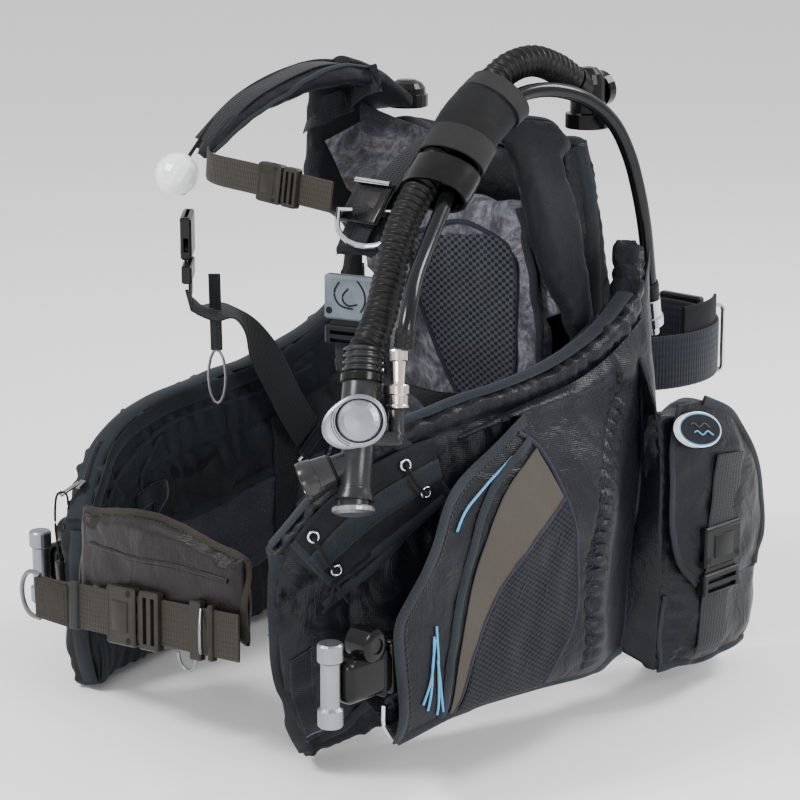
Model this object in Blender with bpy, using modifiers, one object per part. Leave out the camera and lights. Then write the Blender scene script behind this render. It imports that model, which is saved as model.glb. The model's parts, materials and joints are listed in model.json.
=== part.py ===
"""Buoyancy compensator vest: jacket, harness, inflator, valves, weight system and buckles.

Metres, +Z up.  The wearer faces -Y and the wearer's left is +X.  The vest stands on its lobes.
"""
import math

import bmesh
import bpy
from mathutils import Matrix, Vector

# ---------------------------------------------------------------- driving dimensions
GAP = 0.0006                # clearance between neighbouring pieces
SHARP_ANGLE = math.radians(35)  # faces that meet at more than this keep a sharp edge
WEB_THICK = 0.0018          # nylon webbing
TANK_WEB = 0.050            # cylinder band webbing
WAIST_WEB = 0.038           # waist, shoulder and trim pocket webbing
CHEST_WEB = 0.025           # chest strap webbing

PLATE_CENTRE = Vector((0.0, 0.1785, 0.265))
PLATE_SLOT_X = 0.048        # slots for the cylinder band, from the middle

SLOT_DROP = 0.00165         # webbing runs this far behind a buckle's middle plane
CLIP_BASE = 0.16            # root of the prongs, as a share of the webbing's width
STRAIGHT_RUN = (0.022, 0.034, 0.040)  # webbing leaves a shoulder clip straight for this far
SLOT_SIDE = 0.0016          # a webbing slot is this much wider than its webbing
SLOT_PLAY = 0.0012          # and this much deeper

STAND = Vector((0.0, -0.0420, 0.0013))  # puts the finished vest on the middle of its footprint

LOBE_THICK = 0.034          # side air cells
BACK_THICK = 0.040          # rear air cell
PAD_THICK = 0.016           # back and shoulder padding

HOSE_RADIUS = 0.0132        # corrugated hose
LP_RADIUS = 0.0062          # low pressure hose
LP_POINTS = 40              # points along its tube
TANK_RADIUS = 0.100         # middle of the cylinder band
TANK_CENTRE = Vector((0.0, 0.288, 0.246))

POUCH_X = 0.2255            # centre plane of the weight pouches, from the middle
POUCH_LENGTH = 0.165

# Plan of the side lobes from the rear seam to the front edge: (x, y, top, bottom).
LEFT_LOBE = [
    (0.157, 0.116, 0.392, 0.030),
    (0.184, 0.078, 0.350, 0.030),
    (0.193, 0.018, 0.322, 0.040),
    (0.193, -0.060, 0.304, 0.046),
    (0.186, -0.140, 0.296, 0.040),
    (0.163, -0.215, 0.270, 0.024),
    (0.124, -0.276, 0.192, 0.008),
]
RIGHT_LOBE = [
    (-0.157, 0.116, 0.330, 0.030),
    (-0.182, 0.078, 0.278, 0.018),
    (-0.190, 0.018, 0.250, 0.008),
    (-0.189, -0.060, 0.240, 0.000),
    (-0.183, -0.140, 0.231, 0.000),
    (-0.170, -0.200, 0.204, 0.000),
    (-0.146, -0.246, 0.150, 0.000),
]
LEFT_LEAN = 0.19            # how far the hem draws in, as a share of the plan
RIGHT_LEAN = 0.02

# Centre lines of the padded shoulders, from the yoke seam over the top to the buckle.
LEFT_SHOULDER = [
    (0.092, 0.080, 0.466), (0.093, 0.052, 0.484), (0.092, 0.012, 0.488), (0.090, -0.036, 0.477),
    (0.088, -0.082, 0.456), (0.086, -0.116, 0.428), (0.085, -0.136, 0.396),
]
LEFT_SHOULDER_WIDTHS = [0.072, 0.066, 0.058, 0.050, 0.046, 0.044, 0.042]
RIGHT_SHOULDER = [
    (-0.094, 0.078, 0.480), (-0.095, 0.050, 0.505), (-0.098, 0.015, 0.514), (-0.100, -0.025, 0.510),
    (-0.102, -0.066, 0.498), (-0.106, -0.098, 0.479), (-0.110, -0.122, 0.454),
]
RIGHT_SHOULDER_WIDTHS = [0.070, 0.066, 0.060, 0.050, 0.042, 0.040, 0.040]

HOSE_ROUTE = [
    (0.115, 0.088, 0.520), (0.115, 0.066, 0.532), (0.115, 0.038, 0.540), (0.115, 0.010, 0.537),
    (0.115, -0.014, 0.525), (0.118, -0.042, 0.510), (0.121, -0.064, 0.495), (0.128, -0.098, 0.466),
    (0.137, -0.133, 0.437), (0.145, -0.155, 0.415), (0.153, -0.171, 0.392), (0.163, -0.190, 0.370),
    (0.173, -0.211, 0.354),
]
LP_ROUTE = [
    (0.2040, -0.2070, 0.3520), (0.2028, -0.2034, 0.3660), (0.1970, -0.1930, 0.3820),
    (0.1860, -0.1760, 0.3980), (0.1740, -0.1520, 0.4150), (0.1610, -0.1220, 0.4380),
    (0.1490, -0.0920, 0.4610), (0.1408, -0.0620, 0.4855), (0.1368, -0.0390, 0.4995),
    (0.1327, -0.0120, 0.5122), (0.1335, 0.0140, 0.5185), (0.1380, 0.0450, 0.5170),
    (0.1430, 0.0770, 0.5060), (0.1470, 0.1050, 0.4850), (0.1490, 0.1240, 0.4560),
    (0.1495, 0.1370, 0.4240), (0.1490, 0.1470, 0.3920), (0.1460, 0.1570, 0.3580),
    (0.1410, 0.1680, 0.3280),
]
SLEEVE_SPAN = (0.345, 0.56)  # part of the hose route that the neoprene sleeve covers
CLIP_SPAN = (0.575, 0.625)  # part that the hose clip covers

COLOURS = {
    "nylon": ((0.016, 0.019, 0.024, 1), 0.62, 0.0),
    "lining": ((0.055, 0.056, 0.066, 1), 0.75, 0.0),
    "webbing": ((0.030, 0.030, 0.028, 1), 0.70, 0.0),
    "plastic": ((0.020, 0.021, 0.023, 1), 0.38, 0.0),
    "rubber": ((0.024, 0.024, 0.025, 1), 0.55, 0.0),
    "steel": ((0.62, 0.63, 0.65, 1), 0.22, 1.0),
    "silver": ((0.48, 0.50, 0.54, 1), 0.32, 0.7),
    "white": ((0.86, 0.87, 0.88, 1), 0.30, 0.0),
}

# ---------------------------------------------------------------- scene set up
for old in list(bpy.data.objects):
    bpy.data.objects.remove(old, do_unlink=True)

PARTS = bpy.data.collections.new("buoyancy_compensator_vest")
CUTTERS = bpy.data.collections.new("cutters")
bpy.context.scene.collection.children.link(PARTS)
bpy.context.scene.collection.children.link(CUTTERS)


def material(key):
    found = bpy.data.materials.get(key)
    if found:
        return found
    colour, roughness, metallic = COLOURS[key]
    made = bpy.data.materials.new(key)
    made.use_nodes = True
    shader = made.node_tree.nodes["Principled BSDF"]
    shader.inputs["Base Color"].default_value = colour
    shader.inputs["Roughness"].default_value = roughness
    shader.inputs["Metallic"].default_value = metallic
    made.diffuse_color = colour
    return made


def add_object(name, data, key, cutter=False):
    obj = bpy.data.objects.new(name, data)
    (CUTTERS if cutter else PARTS).objects.link(obj)
    data.materials.append(material(key))
    if cutter:
        obj.hide_render = True
        obj.display_type = "WIRE"
    return obj


def mesh_object(name, bm, key, cutter=False):
    mesh = bpy.data.meshes.new(name)
    bmesh.ops.recalc_face_normals(bm, faces=bm.faces)
    bm.to_mesh(mesh)
    bm.free()
    mesh.shade_smooth()
    mesh.set_sharp_from_angle(angle=SHARP_ANGLE)
    return add_object(name, mesh, key, cutter)


def frame_at(origin, x_axis, z_hint):
    """Matrix with its X along x_axis and its Z as near z_hint as it can be."""
    x = Vector(x_axis).normalized()
    y = Vector(z_hint).cross(x).normalized()
    z = x.cross(y)
    matrix = Matrix((x, y, z)).transposed().to_4x4()
    matrix.translation = Vector(origin)
    return matrix


def bevel(obj, width):
    mod = obj.modifiers.new("rounded_edges", "BEVEL")
    mod.width = width
    mod.segments = 1
    mod.limit_method = "ANGLE"
    mod.angle_limit = SHARP_ANGLE


def boolean(obj, other, operation="DIFFERENCE"):
    mod = obj.modifiers.new(operation.lower(), "BOOLEAN")
    mod.operation = operation
    mod.object = other


# ---------------------------------------------------------------- shape helpers
def catmull(points, t):
    """Point at t (0 to 1) on a smooth curve through the given tuples."""
    count = len(points) - 1
    place = min(max(t, 0.0), 1.0) * count
    index = min(int(place), count - 1)
    f = place - index
    p0 = points[max(index - 1, 0)]
    p1 = points[index]
    p2 = points[index + 1]
    p3 = points[min(index + 2, count)]
    value = []
    for a, b, c, d in zip(p0, p1, p2, p3):
        value.append(0.5 * (2 * b + (c - a) * f + (2 * a - 5 * b + 4 * c - d) * f * f
                            + (3 * b - a - 3 * c + d) * f ** 3))
    return value


def smooth_route(points, count):
    return [Vector(catmull(points, i / (count - 1))) for i in range(count)]


def box_mesh(size, centre=(0, 0, 0)):
    bm = bmesh.new()
    bmesh.ops.create_cube(bm, size=1.0)
    bmesh.ops.scale(bm, vec=size, verts=bm.verts)
    bmesh.ops.translate(bm, vec=centre, verts=bm.verts)
    return bm


def box(name, size, centre, matrix, key, width=0.0, cutter=False):
    obj = mesh_object(name, box_mesh(size, centre), key, cutter)
    obj.matrix_world = matrix
    if width:
        bevel(obj, width)
    return obj


def cylinder_mesh(radius, length, centre=(0, 0, 0), axis="Z", sides=24, radius2=None):
    bm = bmesh.new()
    bmesh.ops.create_cone(bm, cap_ends=True, segments=sides, radius1=radius,
                          radius2=radius if radius2 is None else radius2, depth=length)
    turn = {"X": Matrix.Rotation(math.pi / 2, 3, "Y"), "Y": Matrix.Rotation(-math.pi / 2, 3, "X"),
            "Z": Matrix.Identity(3)}[axis]
    bmesh.ops.rotate(bm, matrix=turn, verts=bm.verts)
    bmesh.ops.translate(bm, vec=centre, verts=bm.verts)
    return bm


def cylinder(name, radius, length, centre, matrix, key, axis="Z", sides=20, width=0.0, cutter=False,
             radius2=None):
    obj = mesh_object(name, cylinder_mesh(radius, length, centre, axis, sides, radius2), key, cutter)
    obj.matrix_world = matrix
    if width:
        bevel(obj, width)
    return obj


def turned(name, profile, matrix, key, steps=24, cutter=False):
    """A profile of (radius, height) pairs, listed from top to bottom, turned about local Z."""
    bm = bmesh.new()
    verts = [bm.verts.new((r, 0.0, h)) for r, h in profile]
    for a, b in zip(verts, verts[1:]):
        bm.edges.new((a, b))
    mesh = bpy.data.meshes.new(name)
    bm.to_mesh(mesh)
    bm.free()
    obj = add_object(name, mesh, key, cutter)
    obj.matrix_world = matrix
    mod = obj.modifiers.new("turned", "SCREW")
    mod.steps = steps
    mod.render_steps = steps
    mod.use_merge_vertices = True
    mod.merge_threshold = 0.00005
    mod.use_smooth_shade = True
    return obj


def slab(name, surface, nu, nv, thickness, key, cutter=False):
    """Solidified patch over surface(u, v), with u and v from 0 to 1."""
    bm = bmesh.new()
    bmesh.ops.create_grid(bm, x_segments=nu, y_segments=nv, size=0.5)
    for vert in bm.verts:
        vert.co = surface(vert.co.x + 0.5, vert.co.y + 0.5)
    mesh = bpy.data.meshes.new(name)
    bm.to_mesh(mesh)
    bm.free()
    mesh.shade_smooth()
    mesh.set_sharp_from_angle(angle=SHARP_ANGLE)
    obj = add_object(name, mesh, key, cutter)
    mod = obj.modifiers.new("thickness", "SOLIDIFY")
    mod.thickness = thickness
    mod.offset = 0.0
    return obj


def ribbon(name, points, width, thickness, across, key, count=None):
    """Flat strap along points; across is one direction, or one for each point."""
    count = count or len(points)
    many = isinstance(across, list)

    def surface(u, v):
        at = catmull(points, u)
        side = Vector(catmull(across, u) if many else across).normalized()
        return Vector(at) + side * (v - 0.5) * width

    return slab(name, surface, count, 1, thickness, key)


def tube(name, points, radius, key, resolution=2):
    data = bpy.data.curves.new(name, "CURVE")
    data.dimensions = "3D"
    data.bevel_depth = radius
    data.bevel_resolution = resolution
    data.use_fill_caps = True
    spline = data.splines.new("POLY")
    spline.points.add(len(points) - 1)
    for point, place in zip(spline.points, points):
        point.co = (*place, 1.0)
    return add_object(name, data, key)


def ring(name, points, radius, matrix, key, resolution=2):
    obj = tube(name, points, radius, key, resolution)
    obj.data.splines[0].use_cyclic_u = True
    obj.matrix_world = matrix
    return obj


def plate(name, outlines, thickness, matrix, key, width=0.0):
    """Flat plate from closed outlines in local XY; the first is the rim, the rest are holes."""
    data = bpy.data.curves.new(name, "CURVE")
    data.dimensions = "2D"
    data.fill_mode = "BOTH"
    data.extrude = thickness / 2 - width
    data.bevel_depth = width
    data.bevel_resolution = 0
    data.offset = -width
    for outline in outlines:
        spline = data.splines.new("POLY")
        spline.points.add(len(outline) - 1)
        for point, (x, y) in zip(spline.points, outline):
            point.co = (x, y, 0.0, 1.0)
        spline.use_cyclic_u = True
    obj = add_object(name, data, key)
    obj.matrix_world = matrix
    return obj


def rectangle(x0, x1, y0, y1):
    return [(x0, y0), (x1, y0), (x1, y1), (x0, y1)]


def d_outline(width, height, corner=0.35, arc=10):
    """D shape hanging below a straight bar that lies on local X at the origin."""
    half = width / 2
    points = [(-half, 0.0, 0.0), (half, 0.0, 0.0)]
    for i in range(arc + 1):
        angle = math.pi * i / arc
        points.append((half * math.cos(angle), 0.0,
                       -height * corner - height * (1 - corner) * math.sin(angle)))
    return points


# ---------------------------------------------------------------- jacket
def jacket_back():
    def surface(u, v):
        side = 2 * u - 1
        half = catmull([(0.132,), (0.136,), (0.136,), (0.136,), (0.130,), (0.112,)], v)[0]
        z = 0.030 + 0.440 * v
        y = 0.146 - (0.024 - 0.016 * v ** 3) * side ** 2 - 0.028 * v ** 3
        return Vector((half * side, y, z))

    return slab("jacket_back", surface, 10, 8, BACK_THICK, "nylon")


def lobe(name, stations, lean):
    def surface(u, v):
        x, y, top, bottom = catmull(stations, u)
        drawn = 1.0 - lean * (1 - v) ** 3 * min(1.0, 1.5 * u)
        return Vector((x * drawn, y * drawn if y < 0 else y, bottom + (top - bottom) * v))

    return slab(name, surface, 13, 5, LOBE_THICK, "nylon")


def back_pad():
    def surface(u, v):
        side = 2 * u - 1
        half = catmull([(0.070,), (0.096,), (0.104,), (0.098,), (0.072,)], v)[0]
        y = 0.096 + 0.012 * math.cos(math.pi * v) - 0.008 * side ** 2
        return Vector((half * side, y, 0.085 + 0.330 * v))

    return slab("back_pad", surface, 7, 6, PAD_THICK, "lining")


def backplate():
    half, top = 0.062, 0.185
    rim = []
    for sx, sz in ((1, -1), (1, 1), (-1, 1), (-1, -1)):
        for i in range(4):
            start = {(1, -1): -90, (1, 1): 0, (-1, 1): 90, (-1, -1): 180}[(sx, sz)]
            a = math.radians(start + 30 * i)
            rim.append((sx * (half - 0.02) + 0.02 * math.cos(a), sz * (top - 0.02) + 0.02 * math.sin(a)))
    slots = []
    for z in (TANK_CENTRE.z - PLATE_CENTRE.z, 0.10):
        for side in (-1, 1):
            x = side * PLATE_SLOT_X
            slots.append(rectangle(x - 0.004, x + 0.004, z - 0.028, z + 0.028))
    slots.append(rectangle(-0.022, 0.022, 0.148, 0.170))
    matrix = Matrix.Translation(PLATE_CENTRE) @ Matrix.Rotation(math.pi / 2, 4, "X")
    return plate("backplate", [rim] + slots, 0.006, matrix, "plastic", 0.001)


# ---------------------------------------------------------------- cylinder band
def closed_strip(name, points, half_width, thickness, key):
    """Endless band of webbing standing on edge along points."""
    bm = bmesh.new()
    rows = []
    for point in points:
        rows.append([bm.verts.new(point + Vector((0, 0, z))) for z in (-half_width, half_width)])
    for a, b in zip(rows, rows[1:] + rows[:1]):
        bm.faces.new((a[0], b[0], b[1], a[1]))
    mesh = bpy.data.meshes.new(name)
    bm.to_mesh(mesh)
    bm.free()
    mesh.shade_smooth()
    obj = add_object(name, mesh, key)
    mod = obj.modifiers.new("thickness", "SOLIDIFY")
    mod.thickness = thickness
    mod.offset = 0.0
    return obj


def tank_band():
    """Webbing loop through two slots of the backplate and round the cylinder."""
    turns = 28
    points = []
    for i in range(turns):
        angle = math.radians(-60) + math.radians(300) * i / (turns - 1)
        points.append(TANK_CENTRE + TANK_RADIUS * Vector((math.cos(angle), math.sin(angle), 0)))
    z = TANK_CENTRE.z
    points += [Vector((-PLATE_SLOT_X, 0.1850, z)), Vector((-PLATE_SLOT_X, 0.1712, z)),
               Vector((PLATE_SLOT_X, 0.1712, z)), Vector((PLATE_SLOT_X, 0.1850, z))]
    closed_strip("tank_band", points, TANK_WEB / 2, 0.0024, "webbing")


def tank_buckle():
    """Cam buckle at the back of the cylinder band: frame, pin and lever."""
    centre = TANK_CENTRE + Vector((0.0, TANK_RADIUS + 0.0075, 0.0))
    matrix = Matrix.Translation(centre)
    frame = box("tank_buckle_frame", (0.050, 0.0095, 0.060), (0.0, 0.0, 0.0), matrix, "plastic", 0.002)
    window = box("tank_buckle_window", (0.034, 0.030, 0.040), (0.0, 0.0, 0.0), matrix, "plastic", cutter=True)
    boolean(frame, window)
    pin_at = centre + Vector((-0.0125, 0.001, 0.0))
    cylinder("tank_buckle_pin", 0.0020, 0.0392, (0, 0, 0), Matrix.Translation(pin_at), "steel", "Z", 12)
    lever_matrix = Matrix.Translation(pin_at)
    lever = box("tank_buckle_lever", (0.027, 0.0052, 0.0380), (0.0125, 0.0020, 0.0), lever_matrix,
                "plastic", 0.0012)
    barrel = cylinder("tank_lever_barrel", 0.0042, 0.0380, (0, 0, 0), lever_matrix, "plastic", "Z", 20,
                      cutter=True)
    boolean(lever, barrel, "UNION")
    bore = cylinder("tank_lever_bore", 0.0024, 0.0500, (0, 0, 0), lever_matrix, "plastic", "Z", 16,
                    cutter=True)
    boolean(lever, bore)


def tank_ring():
    """Stainless rectangular loop that the band's tail doubles back through."""
    angle = math.radians(52)
    out = Vector((math.cos(angle), math.sin(angle), 0.0))
    centre = TANK_CENTRE + out * (TANK_RADIUS + 0.0005)
    half_z = TANK_WEB / 2 + 0.007
    half_t = 0.0080
    corner = 0.005
    points = []
    for sx, sz, start in ((1, 1, 0), (-1, 1, 90), (-1, -1, 180), (1, -1, 270)):
        for i in range(4):
            a = math.radians(start + 30 * i)
            points.append((sx * (half_t - corner) + corner * math.cos(a),
                           0.0, sz * (half_z - corner) + corner * math.sin(a)))
    matrix = frame_at(centre, out, (0, 0, 1))
    ring("tank_band_ring", points, 0.0022, matrix, "steel", 1)


# ---------------------------------------------------------------- shoulders and chest
def shoulder(name, stations, widths, end_across, side):
    """Padded shoulder strap with the wing of the yoke that carries it."""
    def strap(u, v):
        at = Vector(catmull(stations, u))
        wide = catmull([(w,) for w in widths], u)[0]
        across = Vector((1, 0, 0)).lerp(Vector(end_across), u * u).normalized()
        return at + across * (v - 0.5) * wide

    root_top = stations[0][2]
    tip_top = stations[2][2]
    rear = [(0.134, 0.088, 0.312), (0.134, 0.087, 0.360), (0.130, 0.082, 0.410), (0.117, 0.074, root_top)]
    front = [(0.158, 0.066, 0.292), (0.142, 0.028, 0.350), (0.132, 0.010, 0.420), (0.112, 0.002, tip_top)]

    def wing(u, v):
        at = Vector(catmull(rear, v)).lerp(Vector(catmull(front, v)), u)
        return Vector((at.x * side, at.y, at.z))

    pad = slab(name, strap, 12, 2, PAD_THICK * 0.8, "lining")
    wing_pad = slab(name + "_wing", wing, 4, 6, PAD_THICK * 0.8, "lining", cutter=True)
    boolean(pad, wing_pad, "UNION")


def webbing_run(name, start, end, width, across):
    """Straight length of webbing."""
    points = [tuple(start.lerp(end, i / 4)) for i in range(5)]
    ribbon(name, points, width, WEB_THICK, across, "webbing", 8)


def buckle(prefix, origin, along, outward, web, rear):
    """Side release buckle: housing on the -X side of the origin, three-pronged half on +X."""
    matrix = frame_at(origin, along, outward)
    wide = web * 1.28
    tall = max(0.0095, web * 0.24)
    long = female_length(web)
    female = box(prefix + "_female", (long, wide, tall), (-long / 2, 0, 0), matrix, "plastic", 0.0016)
    mouth = box(prefix + "_mouth", (long * 0.62 + 0.01, wide * 0.80, tall * 0.46),
                (-long * 0.31 + 0.005, 0, 0), matrix, "plastic", cutter=True)
    boolean(female, mouth)
    for side in (-1, 1):
        window = box(prefix + "_side_window", (long * 0.34, wide * 0.22, tall * 0.46),
                     (-long * 0.36, side * wide * 0.47, 0), matrix, "plastic", cutter=True)
        boolean(female, window)
    throat = box(prefix + "_throat", (long * 0.26, web + SLOT_SIDE, WEB_THICK + SLOT_PLAY),
                 (-long * 0.90, 0, 0), matrix, "plastic", cutter=True)
    boolean(female, throat)

    thick = tall * 0.46 - 2 * GAP
    base = web * CLIP_BASE
    prong = long * 0.44
    arm = wide * 0.5 - wide * 0.10 - GAP - 0.0004
    rim = [(GAP, -arm), (base, -wide * 0.46), (base, wide * 0.46), (GAP, arm),
           (-prong * 0.55, arm), (-prong, arm - wide * 0.09), (-prong * 0.60, arm - wide * 0.09),
           (-prong * 0.45, arm - wide * 0.08), (GAP, arm - wide * 0.10), (GAP, wide * 0.06),
           (-prong * 0.9, wide * 0.05), (-prong * 0.9, -wide * 0.05), (GAP, -wide * 0.06),
           (GAP, -arm + wide * 0.10), (-prong * 0.45, -arm + wide * 0.08),
           (-prong * 0.60, -arm + wide * 0.09), (-prong, -arm + wide * 0.09), (-prong * 0.55, -arm)]
    tongue = plate(prefix + "_tongue", [rim], thick, matrix, "plastic")
    tongue_mesh = curve_to_mesh(tongue, cutter=True)

    male = box(prefix + "_male", (rear, wide, tall * 0.92), (base + rear / 2 - 0.001, 0, 0), matrix,
               "plastic", 0.0014)
    boolean(male, tongue_mesh, "UNION")
    slot = box(prefix + "_strap_slot", (rear + 0.02, web + SLOT_SIDE, WEB_THICK + SLOT_PLAY),
               (base + rear / 2, 0, -SLOT_DROP), matrix, "plastic", cutter=True)
    boolean(male, slot)
    for place in (0.30, 0.72):
        opening = box(prefix + "_ladder_slot", (rear * 0.20, web + 0.0004, tall),
                      (base + rear * place, 0, tall * 0.38), matrix, "plastic", cutter=True)
        boolean(male, opening)


def curve_to_mesh(curve_obj, cutter=False):
    """Swap a curve object for a mesh one with its caps welded."""
    graph = bpy.context.evaluated_depsgraph_get()
    mesh = bpy.data.meshes.new_from_object(curve_obj.evaluated_get(graph))
    bm = bmesh.new()
    bm.from_mesh(mesh)
    bmesh.ops.remove_doubles(bm, verts=bm.verts, dist=0.00002)
    bm.to_mesh(mesh)
    bm.free()
    name = curve_obj.name
    matrix = curve_obj.matrix_world.copy()
    bpy.data.objects.remove(curve_obj, do_unlink=True)
    mesh.materials.clear()
    obj = add_object(name, mesh, "plastic", cutter)
    obj.matrix_world = matrix
    return obj


# ---------------------------------------------------------------- belt, chest strap and cummerbund
WAIST_BUCKLE_AT = Vector((-0.0300, -0.2760, 0.1010))
WAIST_ALONG = Vector((1.0, -0.01, 0.10)).normalized()
CHEST_BUCKLE_AT = Vector((0.0200, -0.1560, 0.4485))
CHEST_ALONG = Vector((1.0, -0.03, -0.05)).normalized()

# Parting point, strap direction, outward direction, webbing width and length of the adjuster.
BUCKLES = {
    "waist_buckle": (WAIST_BUCKLE_AT, WAIST_ALONG, (0, -1, 0.1), WAIST_WEB, 0.0235),
    "chest_buckle": (CHEST_BUCKLE_AT, CHEST_ALONG, (0, -1, 0.1), CHEST_WEB, 0.0155),
    "shoulder_right_buckle": ((-0.1150, -0.1400, 0.3720), (0, 0, -1), (-0.7, -0.7, 0), WAIST_WEB, 0.0155),
    "shoulder_left_buckle": ((0.0855, -0.1420, 0.3460), (0, 0, -1), (0.3, -0.95, 0), WAIST_WEB, 0.0155),
    "trim_left_buckle": ((0.2525, 0.128, 0.118), (0, 0, -1), (1, 0, 0), WAIST_WEB, 0.0190),
    "trim_right_buckle": ((-0.2525, 0.170, 0.098), (0, 0, -1), (-1, 0, 0), WAIST_WEB, 0.0190),
}


def female_length(web):
    return web * 1.05 if web < 0.03 else web * 0.95


def at_buckle(name, x, drop=0.0):
    """Point on a buckle's webbing line: x along the strap, drop behind the middle plane."""
    origin, along, outward = BUCKLES[name][:3]
    return frame_at(origin, along, outward) @ Vector((x, 0.0, -drop))


def buckle_across(name):
    origin, along, outward = BUCKLES[name][:3]
    return tuple(frame_at(origin, along, outward).to_3x3() @ Vector((0, 1, 0)))


def female_entry(name):
    """Where webbing ends inside the housing's throat."""
    return at_buckle(name, -female_length(BUCKLES[name][3]) * 0.82)


def web_start(name):
    """Where webbing begins inside the clip, clear of the prongs when the clip slides out."""
    web = BUCKLES[name][3]
    return at_buckle(name, web * CLIP_BASE + 0.0068 if web > 0.03 else web * CLIP_BASE + 0.0026, SLOT_DROP)


def waist_belt():
    name = "waist_buckle"
    across = buckle_across(name)
    webbing_run("waist_web_left", web_start(name), at_buckle(name, 0.1220, SLOT_DROP), WAIST_WEB, across)
    entry = female_entry(name)
    points = [entry, entry - WAIST_ALONG * 0.026, entry - WAIST_ALONG * 0.046 + Vector((0, 0.0005, 0)),
              Vector((-0.128, -0.2760, 0.0915)), Vector((-0.1580, -0.2745, 0.0890))]
    ribbon("waist_web_right", [tuple(p) for p in points], WAIST_WEB, WEB_THICK,
           [across, across, across, (0.08, 0, 1), (0.05, 0, 1)], "webbing", 9)
    matrix = frame_at(WAIST_BUCKLE_AT, WAIST_ALONG, (0, -1, 0.1))
    place = 0.072
    frame = box("belt_slide", (0.013, WAIST_WEB + 0.010, 0.0075), (place, 0, -SLOT_DROP), matrix, "plastic",
                0.0012)
    hole = box("belt_slide_hole", (0.03, WAIST_WEB + SLOT_SIDE, WEB_THICK + SLOT_PLAY),
               (place, 0, -SLOT_DROP), matrix, "plastic", cutter=True)
    boolean(frame, hole)


def chest_strap():
    name = "chest_buckle"
    across = buckle_across(name)
    webbing_run("chest_web_left", web_start(name), at_buckle(name, 0.0560, SLOT_DROP), CHEST_WEB, across)
    entry = female_entry(name)
    points = [entry, entry - CHEST_ALONG * 0.020, Vector((-0.060, -0.1530, 0.4520)),
              Vector((-0.078, -0.1480, 0.4535)), Vector((-0.089, -0.1390, 0.4555))]
    ribbon("chest_web_right", [tuple(p) for p in points], CHEST_WEB, WEB_THICK,
           [across, across, across, (0.1, 0, 1), (0.1, 0, 1)], "webbing", 10)


def cummerbund(name, x0, x1, y, low, high):
    def surface(u, v):
        bow = math.sin(math.pi * u)
        top = high + 0.018 * bow
        return Vector((x0 + (x1 - x0) * u, y - 0.004 * bow, low + (top - low) * v))

    slab(name, surface, 8, 3, 0.009, "nylon")


# ---------------------------------------------------------------- harness webbing and rings
def lower_straps():
    """Webbing from each shoulder buckle down to the side of its lobe."""
    lower = (0.0, 0.77, 0.64)
    right = [web_start("shoulder_right_buckle")]
    right += [at_buckle("shoulder_right_buckle", x, SLOT_DROP) for x in STRAIGHT_RUN]
    right += [Vector(p) for p in ((-0.1170, -0.1180, 0.3200), (-0.1250, -0.0780, 0.3080),
                                  (-0.1400, -0.0290, 0.2620), (-0.1520, 0.0120, 0.2080),
                                  (-0.1585, 0.0400, 0.1740))]
    first = buckle_across("shoulder_right_buckle")
    if first[0] > 0:
        first = tuple(-c for c in first)
    across = [first, first, first, first, (-0.3, 0.75, 0.45), lower, lower, lower, lower]
    ribbon("lower_web_right", right, 0.034, WEB_THICK, across, "webbing", 22)
    left = [web_start("shoulder_left_buckle")]
    left += [at_buckle("shoulder_left_buckle", x, SLOT_DROP) for x in STRAIGHT_RUN]
    left += [Vector(p) for p in ((0.0930, -0.1180, 0.2940), (0.1100, -0.0780, 0.2760),
                                 (0.1330, -0.0290, 0.2350), (0.1480, 0.0120, 0.1950),
                                 (0.1570, 0.0400, 0.1740))]
    first = buckle_across("shoulder_left_buckle")
    if first[0] < 0:
        first = tuple(-c for c in first)
    across = [first, first, first, first, (0.5, 0.75, 0.45), lower, lower, lower, lower]
    ribbon("lower_web_left", left, 0.034, WEB_THICK, across, "webbing", 22)


def strap_rings():
    """Steel rings, each hanging from a bar that its webbing folds over."""
    hang = (0, 0, 1)
    ring("strap_ring", d_outline(0.046, 0.026), 0.0021,
         frame_at((-0.1592, 0.0475, 0.1645), (0.0, 0.77, 0.64), (0, -0.64, 0.77)), "steel")
    ring("chest_ring", d_outline(0.050, 0.030), 0.0023,
         frame_at((0.0930, -0.1310, 0.4340), (0.85, 0.52, 0), (-0.25, 0.42, 0.87)), "steel")
    ring("hem_ring", d_outline(0.046, 0.030), 0.0021,
         frame_at((0.2020, -0.2120, 0.0760), (-0.30, 0.95, 0), hang), "steel")
    ring("waist_ring", d_outline(0.040, 0.024), 0.0021,
         frame_at((-0.1620, -0.2742, 0.0888), (0.05, 0.0, 1.0), (1, 0, -0.05)), "steel")
    points = []
    for i in range(16):
        a = 2 * math.pi * i / 16
        points.append((0.0075 * math.cos(a), 0.0, -0.024 + 0.024 * math.sin(a)))
    ring("pull_ring", points, 0.0013, frame_at((-0.1300, -0.0960, 0.2800), (0.72, 0.69, 0), hang), "steel")


# ---------------------------------------------------------------- hoses, valves and inflator
INFLATOR_TOP = Vector((0.1755, -0.2200, 0.3505))
INFLATOR_DOWN = Vector((0.0300, -0.0423, -0.1078)).normalized()
FACE_OUT = Vector((0.67, -0.70, 0.24)).normalized()
SIDE_OUT = Vector((0.72, 0.69, 0.0)).normalized()


def corrugated_hose():
    tube("corrugated_hose", smooth_route(HOSE_ROUTE, 28), HOSE_RADIUS, "rubber", 2)
    tube("lp_hose", smooth_route(LP_ROUTE, LP_POINTS), LP_RADIUS, "rubber", 2)


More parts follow.
